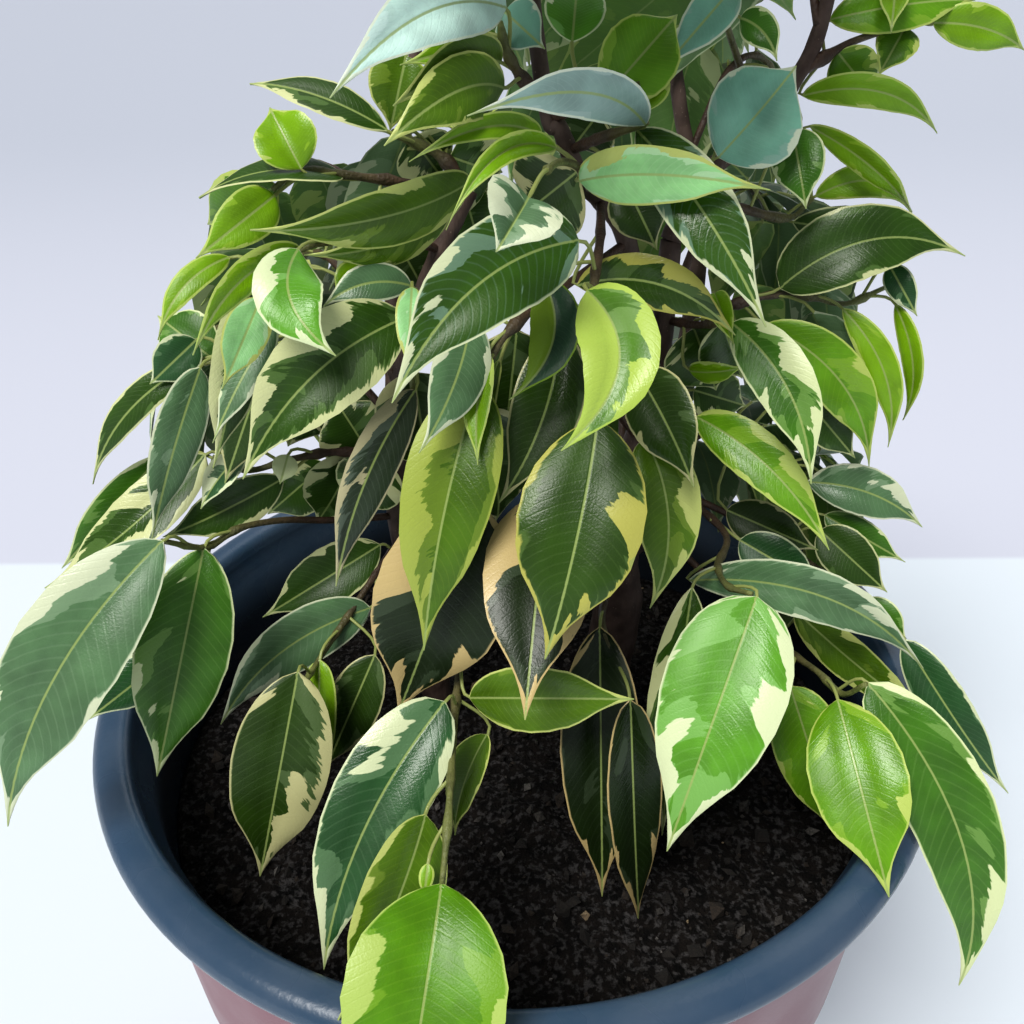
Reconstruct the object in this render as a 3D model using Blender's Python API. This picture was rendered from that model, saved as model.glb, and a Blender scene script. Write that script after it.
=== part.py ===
"""A young variegated weeping fig in a plastic pot, one closed solid for each physical piece.

Lengths in this script are millimetres and become metres when a mesh is made. The pot's underside
lies at z = 0 with its centre at the origin, and the front of the plant looks towards -Y.
"""

import math
import random
from collections import namedtuple

import bmesh
import bpy
import numpy as np
from mathutils.bvhtree import BVHTree

MM = 0.001
SEED = 7

# Pot and liner
RIM_TOP = 188.0
RIM_RADIUS = 110.0
POT_TOP_RADIUS = 103.4
POT_BASE_RADIUS = 80.0
# Heights at which the walls of the pot, the liner and the soil turn
WALL_HEIGHTS = np.array([4.0, 50.0, 110.0, RIM_TOP - 6.0])
POT_WALL = 1.6
POT_FLOOR = 3.2
LINER_WALL = 1.4
LINER_FLOOR = 2.0
LINER_PLAY = 0.5
LEDGE_DROP = 10.0
LEDGE_STEP = 1.8
FIT_GAP = 0.3
TURN_SEGMENTS = 24
DRAIN_HOLES = 5
DRAIN_RADIUS = 5.0
DRAIN_CIRCLE = 48.0

# Soil
SOIL_DROP = 38.0
SOIL_MOUND = 5.0
SOIL_CRUMB = 0.9
# Radius at which the mound ends, and radii of the rings on its top
SOIL_REACH = 97.0
SOIL_RINGS = (76.0, 50.0, 24.0, 0.0)
HOLE_DEPTH = 62.0
HOLE_PLAY = 1.3

# Wood
WOODS = ("trunk", "stem_left")
BARK_SIDES = 6
TWIG_SIDES = 4
TWIG_START = 1.25
TWIG_END = 0.9
TWIG_GAP = 0.3
TRIM_STEPS = 60

# Leaves
BLADE_THICKNESS = 1.0
PETIOLE_RADIUS = 0.45
PETIOLE_LENGTH = 9.0
LEAF_CLEARANCE = 0.4
# Shares of the way from a blade's start to its tip, with the width there as a share of the full one
BROAD_OUTLINE = ((0.0, 0.08), (0.18, 0.80), (0.46, 0.98), (0.78, 0.44))
SLIM_OUTLINE = ((0.0, 0.10), (0.3, 0.96), (0.7, 0.60))
BROAD_FROM = 17.5

# The viewpoint of the photograph, whose points count 1024 across and down
PHOTO_MIDDLE = 512.0
FOCAL_POINTS = 1000.0
VIEWPOINT = np.array([0.4, -209.5, RIM_TOP + 181.4])
LOOKS_DOWN = math.radians(32.86)
TURNED = math.radians(-1.02)

# The crown's outline in the photograph: point down, and the leftmost and rightmost leaf points there
CROWN_OUTLINE = np.array([(-400, 330, 1000), (-120, 400, 1020), (-20, 430, 1000), (10, 430, 850),
                          (90, 400, 800), (150, 385, 815), (175, 270, 825), (200, 215, 830),
                          (255, 195, 860), (330, 180, 880), (400, 150, 890), (450, 130, 870),
                          (500, 110, 870), (560, 90, 880), (620, 60, 900), (700, 80, 950),
                          (800, 150, 900), (880, 230, 860), (940, 300, 800), (1100, 320, 700)],
                         dtype=float)
# Places in the photograph where the wall shows through the crown: point across, down and radius
SEE_THROUGH = np.array([(600, 225, 20), (634, 222, 12), (755, 162, 16), (788, 45, 26), (726, 40, 18),
                        (870, 290, 16), (702, 400, 16), (325, 478, 16)], dtype=float)
BEHIND_FROM = 5.0

UP = np.array([0.0, 0.0, 1.0])
AWAY = np.array([0.0, 1.0, 0.0])

Wood = namedtuple("Wood", "path radii")
Leaf = namedtuple("Leaf", "share root base tip facing wide fold arch bend")
Spray = namedtuple("Spray", "name stem leaves fill")


def unit(vector):
    """The same direction with length one."""
    return vector / max(np.linalg.norm(vector), 1e-9)


def view_axes():
    """Right, up and forward directions of the photograph's view."""
    forward = np.array([0.0, math.cos(LOOKS_DOWN), -math.sin(LOOKS_DOWN)])
    level_up = np.array([0.0, math.sin(LOOKS_DOWN), math.cos(LOOKS_DOWN)])
    right = np.array([1.0, 0.0, 0.0])
    turned_right = math.cos(TURNED) * right + math.sin(TURNED) * level_up
    turned_up = -math.sin(TURNED) * right + math.cos(TURNED) * level_up
    return turned_right, turned_up, forward


def seen(u, v, depth):
    """The point on the sight line through photo point (u, v) that lies at y = depth."""
    right, up, forward = view_axes()
    across = (u - PHOTO_MIDDLE) / FOCAL_POINTS
    down = (v - PHOTO_MIDDLE) / FOCAL_POINTS
    line = forward + across * right - down * up
    return VIEWPOINT + line * (depth - VIEWPOINT[1]) / line[1]


def photo_place(points):
    """Where points of the plant appear in the photograph: point across and point down."""
    right, up, forward = view_axes()
    lines = points - VIEWPOINT
    scale = FOCAL_POINTS / (lines @ forward)
    return PHOTO_MIDDLE + lines @ right * scale, PHOTO_MIDDLE - lines @ up * scale


def out_of_the_way(points):
    """Whether all points appear within the crown's outline, and behind what the photo shows."""
    across, down = photo_place(points)
    left = np.interp(down, CROWN_OUTLINE[:, 0], CROWN_OUTLINE[:, 1])
    right = np.interp(down, CROWN_OUTLINE[:, 0], CROWN_OUTLINE[:, 2])
    behind = (points[:, 1] > BEHIND_FROM) | (down < 0)
    gaps = np.hypot(across[:, None] - SEE_THROUGH[:, 0], down[:, None] - SEE_THROUGH[:, 1])
    clear = np.all(gaps > SEE_THROUGH[:, 2], axis=1)
    return bool(np.all((across > left) & (across < right) & behind & clear))


def stem(*points):
    """Points of a stem, each given as photo point across, photo point down and depth."""
    return [seen(u, v, depth) for u, v, depth in points]


def leaf(base_u, base_v, base_depth, tip_u, tip_v, tip_depth, wide, roll=0.0, fold=14.0, arch=0.08,
         bend=0.0):
    """A leaf read off the photo: where its blade starts and ends, its width and its turn."""
    base = seen(base_u, base_v, base_depth)
    tip = seen(tip_u, tip_v, tip_depth)
    towards = unit(VIEWPOINT - (base + tip) / 2)
    facing = turned(towards, unit(tip - base), math.radians(roll))
    return Leaf(None, None, base, tip, facing, wide, fold, arch, bend)


def turned(vector, axis, angle):
    """The vector turned about an axis by an angle (Rodrigues' formula)."""
    return (vector * math.cos(angle) + np.cross(axis, vector) * math.sin(angle)
            + axis * np.dot(axis, vector) * (1 - math.cos(angle)))


def smooth(points, steps):
    """A curve through the points, with `steps` pieces between neighbours (Catmull-Rom)."""
    pts = np.array(points, dtype=float)
    padded = np.vstack([2 * pts[0] - pts[1], pts, 2 * pts[-1] - pts[-2]])
    rows = []
    for index in range(len(pts) - 1):
        p0, p1, p2, p3 = padded[index:index + 4]
        for step in range(steps):
            t = step / steps
            rows.append(0.5 * (2 * p1 + (p2 - p0) * t + (2 * p0 - 5 * p1 + 4 * p2 - p3) * t ** 2
                               + (3 * p1 - p0 - 3 * p2 + p3) * t ** 3))
    rows.append(pts[-1])
    return np.array(rows)


def tangents(path):
    """Unit direction of a path at each of its points."""
    steps = np.gradient(path, axis=0)
    return steps / np.linalg.norm(steps, axis=1, keepdims=True)


def tube(path, radii, sides):
    """A closed tube: a ring of `sides` corners round each path point, and a face on each end."""
    along = tangents(path)
    normal = unit(np.cross(along[0], AWAY + 0.31 * UP + 0.17))
    verts = []
    for point, direction, radius in zip(path, along, radii):
        normal = unit(normal - direction * np.dot(normal, direction))
        other = np.cross(direction, normal)
        for side in range(sides):
            angle = 2 * math.pi * side / sides
            verts.append(point + radius * (math.cos(angle) * normal + math.sin(angle) * other))
    faces = []
    for ring in range(len(path) - 1):
        for side in range(sides):
            a = ring * sides + side
            b = ring * sides + (side + 1) % sides
            faces += [(a, b, b + sides), (a, b + sides, a + sides)]
    last = (len(path) - 1) * sides
    for side in range(1, sides - 1):
        faces.append((0, side + 1, side))
        faces.append((last, last + side, last + side + 1))
    return np.array(verts), faces


def midrib(item, t):
    """Point of the midrib at t: a parabola from base to tip that rises on the upper face.

    A bend moves its middle sideways, to the left where a hanging leaf is seen from the front.
    """
    chord = item.tip - item.base
    rise = unit(item.facing - unit(chord) * np.dot(item.facing, unit(chord)))
    sideways = np.cross(unit(chord), rise)
    away = (item.arch * rise + item.bend * sideways) * np.linalg.norm(chord)
    return item.base + chord * t + away * 4 * t * (1 - t)


def blade(item, margin=0.0):
    """A thin arched blade with its petiole: a diamond of left, top, right, bottom a station."""
    verts = []
    thick = BLADE_THICKNESS + margin
    fold = math.radians(item.fold)
    start = unit(midrib(item, 0.05) - item.base)
    leaves_root = unit(unit(item.base - item.root) + 0.3 * start)
    side = unit(np.cross(leaves_root, item.facing + 0.01 * UP))
    above = np.cross(side, leaves_root)
    petiole = PETIOLE_RADIUS + margin / 2
    for across, lift in ((-petiole, 0), (0, petiole), (petiole, 0), (0, -petiole)):
        verts.append(item.root + side * across + above * lift)
    outline = BROAD_OUTLINE if item.wide > BROAD_FROM else SLIM_OUTLINE
    for t, share in outline:
        point = midrib(item, t)
        along = unit(midrib(item, t + 0.04) - midrib(item, max(t - 0.04, 0.0)))
        side = unit(np.cross(along, item.facing))
        above = np.cross(side, along)
        half = item.wide / 2 * share + margin
        out = side * half * math.cos(fold)
        lift = above * half * math.sin(fold)
        verts += [point - out + lift, point + above * thick / 2, point + out + lift,
                  point - above * thick / 2]
    tip_way = unit(item.tip - midrib(item, 0.9))
    verts.append(item.tip + tip_way * margin)
    faces = [(0, 1, 2), (0, 2, 3)]
    rings = len(outline)
    for ring in range(rings):
        a = 4 * ring
        for first, second in ((0, 1), (2, 1), (3, 0), (3, 2)):
            faces.append((a + first, a + first + 4, a + second + 4))
            faces.append((a + first, a + second + 4, a + second))
    last = 4 * rings
    end = last + 4
    faces += [(last, end, last + 1), (last + 1, end, last + 2), (last + 2, end, last + 3),
              (last + 3, end, last)]
    return np.array(verts), faces


def wall_radius(height):
    """Outer radius of the pot, straight between turns and drawn in more and more to the base."""
    share = (WALL_HEIGHTS / RIM_TOP) ** 0.9
    radii = POT_BASE_RADIUS + (POT_TOP_RADIUS - POT_BASE_RADIUS) * np.sin(np.pi / 2 * share)
    return float(np.interp(height, WALL_HEIGHTS, radii))


def liner_inside(height):
    """Inner radius of the liner below its ledge."""
    return wall_radius(height) - POT_WALL - LINER_PLAY - LEDGE_STEP - LINER_WALL


def material(name, colour, roughness):
    """A plain finish with the part's colour."""
    finish = bpy.data.materials.new(name)
    finish.use_nodes = True
    shader = finish.node_tree.nodes["Principled BSDF"]
    shader.inputs["Base Color"].default_value = (*colour, 1.0)
    shader.inputs["Roughness"].default_value = roughness
    shader.inputs["Metallic"].default_value = 0.0
    finish.diffuse_color = (*colour, 1.0)
    return finish


def place(name, mesh, finish):
    """Put a mesh in the scene as a named object."""
    thing = bpy.data.objects.new(name, mesh)
    mesh.materials.append(finish)
    bpy.context.scene.collection.objects.link(thing)
    return thing


def new_mesh(name, verts, faces):
    """A mesh in metres whose faces all point outwards."""
    mesh = bpy.data.meshes.new(name)
    mesh.from_pydata([tuple(point) for point in np.asarray(verts) * MM], [], faces)
    work = bmesh.new()
    work.from_mesh(mesh)
    bmesh.ops.recalc_face_normals(work, faces=work.faces)
    work.to_mesh(mesh)
    work.free()
    return mesh


def lathe(name, profile, finish):
    """A turned solid: the profile of radius and height spun round the Z axis."""
    work = bmesh.new()
    verts = [work.verts.new((radius * MM, 0.0, height * MM)) for radius, height in profile]
    edges = [work.edges.new((a, b)) for a, b in zip(verts, verts[1:])]
    bmesh.ops.spin(work, geom=verts + edges, cent=(0, 0, 0), axis=(0, 0, 1), angle=2 * math.pi,
                   steps=TURN_SEGMENTS, use_merge=True)
    bmesh.ops.remove_doubles(work, verts=work.verts, dist=0.00001)
    bmesh.ops.recalc_face_normals(work, faces=work.faces)
    mesh = bpy.data.meshes.new(name)
    work.to_mesh(mesh)
    work.free()
    mesh.shade_smooth()
    mesh.set_sharp_from_angle(angle=math.radians(35))
    return place(name, mesh, finish)


def cylinder(name, centre, radius, low, high, sides):
    """A plain upright cylinder, used as a cutter."""
    path = np.array([[centre[0], centre[1], low], [centre[0], centre[1], high]])
    verts, faces = tube(path, [radius, radius], sides)
    return bpy.data.objects.new(name, new_mesh(name, verts, faces))


def combine(body, others, operation, solver="EXACT"):
    """Join others to a body or cut them from it, apply the result and drop the others."""
    group = bpy.data.collections.new(body.name + "_pieces")
    bpy.context.scene.collection.children.link(group)
    for other in others:
        group.objects.link(other)
    step = body.modifiers.new("Combine", "BOOLEAN")
    step.operation = operation
    step.operand_type = "COLLECTION"
    step.collection = group
    step.solver = solver
    bpy.context.view_layer.update()
    evaluated = body.evaluated_get(bpy.context.evaluated_depsgraph_get())
    result = bpy.data.meshes.new_from_object(evaluated)
    body.modifiers.clear()
    body.data = result
    for other in others:
        bpy.data.objects.remove(other)
    bpy.data.collections.remove(group)


def largest_body(thing):
    """Keep the largest connected body of a mesh and drop loose scraps."""
    work = bmesh.new()
    work.from_mesh(thing.data)
    bmesh.ops.triangulate(work, faces=work.faces)
    left = set(work.verts)
    bodies = []
    while left:
        reached = [left.pop()]
        body = set(reached)
        while reached:
            vert = reached.pop()
            for edge in vert.link_edges:
                other = edge.other_vert(vert)
                if other not in body:
                    body.add(other)
                    left.discard(other)
                    reached.append(other)
        bodies.append(body)
    bodies.sort(key=len)
    for body in bodies[:-1]:
        bmesh.ops.delete(work, geom=list(body), context="VERTS")
    work.to_mesh(thing.data)
    work.free()


def make_pot(finish):
    """The outer pot: a tapered cup with a flat underside."""
    top = RIM_TOP - 4.2
    outside = [(wall_radius(z), z) for z in WALL_HEIGHTS]
    inside = [(wall_radius(z) - POT_WALL, z) for z in WALL_HEIGHTS[::-1]]
    profile = [(0.0, 0.0), (POT_BASE_RADIUS - 4.0, 0.0), (POT_BASE_RADIUS - 1.0, 1.2)]
    profile += outside + [(POT_TOP_RADIUS, top), (POT_TOP_RADIUS - POT_WALL, top)] + inside
    profile += [(POT_BASE_RADIUS - 3.0, POT_FLOOR), (0.0, POT_FLOOR)]
    return lathe("pot", profile, finish)


def make_liner(finish):
    """The inner pot: floor with drain holes, wall with a ledge, and a rim that hooks over."""
    floor = POT_FLOOR + FIT_GAP
    ledge = RIM_TOP - LEDGE_DROP
    wall = np.array([14.0, *WALL_HEIGHTS[1:3], ledge - 1.5])
    hook = POT_TOP_RADIUS - POT_WALL - LINER_PLAY
    profile = [(0.0, floor + LINER_FLOOR), (liner_inside(8.0) - 3.0, floor + LINER_FLOOR)]
    profile += [(liner_inside(z), z) for z in wall]
    profile += [(hook - LINER_WALL, ledge + 1.2), (hook - LINER_WALL + 0.1, RIM_TOP - 4.4)]
    profile += [(100.9, RIM_TOP - 1.4), (102.8, RIM_TOP), (106.8, RIM_TOP - 0.2),
                (109.3, RIM_TOP - 1.9), (RIM_RADIUS, RIM_TOP - 4.4), (108.8, RIM_TOP - 7.7),
                (107.3, RIM_TOP - 7.3), (106.8, RIM_TOP - 3.2), (102.4, RIM_TOP - 3.0),
                (hook, RIM_TOP - 4.8), (hook, ledge + 0.6)]
    profile += [(liner_inside(z) + LINER_WALL, z) for z in (wall - 0.6)[::-1]]
    profile += [(liner_inside(8.0) - 2.0, floor), (0.0, floor)]
    liner = lathe("liner", profile, finish)
    holes = []
    for index in range(DRAIN_HOLES):
        angle = 2 * math.pi * (index + 0.5) / DRAIN_HOLES
        centre = (DRAIN_CIRCLE * math.cos(angle), DRAIN_CIRCLE * math.sin(angle))
        holes.append(cylinder(f"drain_{index}", centre, DRAIN_RADIUS, floor - 2, floor + 6, 8))
    combine(liner, holes, "DIFFERENCE")
    return liner


def soil_height(x, y):
    """Height of the soil's surface: a low mound with crumbs as crossed waves."""
    radius = math.hypot(x, y) / SOIL_REACH
    crumbs = math.sin(0.19 * x + 1.3) * math.cos(0.23 * y) + 0.6 * math.sin(0.41 * y + 0.37 * x)
    mound = RIM_TOP - SOIL_DROP + SOIL_MOUND * (1 - radius ** 2)
    return mound + SOIL_CRUMB * crumbs * (1 - radius ** 4)


def make_soil(finish, woods):
    """The peat that fills the liner, with a plain round hole for each stem."""
    floor = POT_FLOOR + FIT_GAP + LINER_FLOOR + FIT_GAP
    surface = RIM_TOP - SOIL_DROP
    levels = (16.0, *WALL_HEIGHTS[1:3], surface)
    profile = [(0.0, floor), (liner_inside(8.0) - 3.6, floor)]
    profile += [(liner_inside(z) - FIT_GAP, z) for z in levels]
    profile += [(radius, surface) for radius in SOIL_RINGS]
    soil = lathe("soil", profile, finish)
    for vert in soil.data.vertices:
        x, y, z = vert.co / MM
        if z > surface - 0.01 and math.hypot(x, y) < SOIL_RINGS[0] + 1.0:
            vert.co.z = soil_height(x, y) * MM
    holes = []
    for wood in woods:
        foot = wood.path[0]
        reach = max(wood.radii[:3]) + HOLE_PLAY
        low = foot[2] - FIT_GAP
        holes.append(cylinder("hole", foot, reach, low, surface + 20, 12))
    combine(soil, holes, "DIFFERENCE")
    return soil


def branch(points, radii, steps=1):
    """A woody limb: a smooth path with a radius that goes evenly from value to value."""
    path = smooth(points, steps)
    places = np.linspace(0, 1, len(radii))
    return Wood(path, np.interp(np.linspace(0, 1, len(path)), places, radii))


def upright(x, y, low, high):
    """Two points of a stem that stands straight in the soil."""
    return [np.array([x, y, low]), np.array([x, y, high])]


def woody_frame():
    """The limbs of both woody stems: first limb of each list stands in the soil."""
    foot = RIM_TOP - SOIL_DROP + SOIL_MOUND - HOLE_DEPTH
    soil = RIM_TOP - SOIL_DROP + SOIL_MOUND
    crown = RIM_TOP + 205.0
    right = [
        branch(upright(25, 4, foot, soil + 1) + stem((618, 600, 6), (616, 545, 6), (640, 440, 10),
               (660, 345, 13), (671, 240, 15)), (7.0, 7.2, 6.6, 5.8, 4.2, 3.0, 2.5), steps=2),
        branch(stem((671, 240, 15), (690, 190, 17), (724, 157, 21), (760, 121, 25), (790, 88, 29),
               (825, 10, 35)) + [np.array([74, 38, crown - 8])], (2.5, 2.3, 2.2, 2.0, 1.9, 1.7, 1.4)),
        branch(stem((655, 372, 12), (627, 242, 6), (601, 201, 3), (579, 176, 1), (561, 131, 1),
               (545, 100, 3)) + [np.array([4, 8, crown - 22]), np.array([8, 12, crown + 8])],
               (2.6, 2.2, 2.1, 2.0, 1.9, 1.8, 1.6, 1.3)),
        branch(stem((616, 560, 6), (650, 510, 26)) + [np.array([52, 54, RIM_TOP + 92]),
               np.array([46, 66, RIM_TOP + 128]), np.array([40, 72, RIM_TOP + 160])],
               (3.2, 2.8, 2.4, 2.0, 1.5)),
    ]
    left = [
        branch(upright(-22, 10, foot + 8, soil + 1) + stem((402, 520, 8), (399, 443, 5),
               (404, 372, 2), (417, 318, 2), (440, 250, 4), (470, 190, 8)),
               (4.2, 4.4, 3.8, 3.2, 2.8, 2.5, 2.2, 1.9), steps=2),
        branch(stem((399, 460, 5)) + [np.array([-30, 34, RIM_TOP + 76]),
               np.array([-28, 52, RIM_TOP + 108]), np.array([-20, 60, RIM_TOP + 150])],
               (2.6, 2.3, 2.0, 1.5)),
    ]
    return right, left


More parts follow.
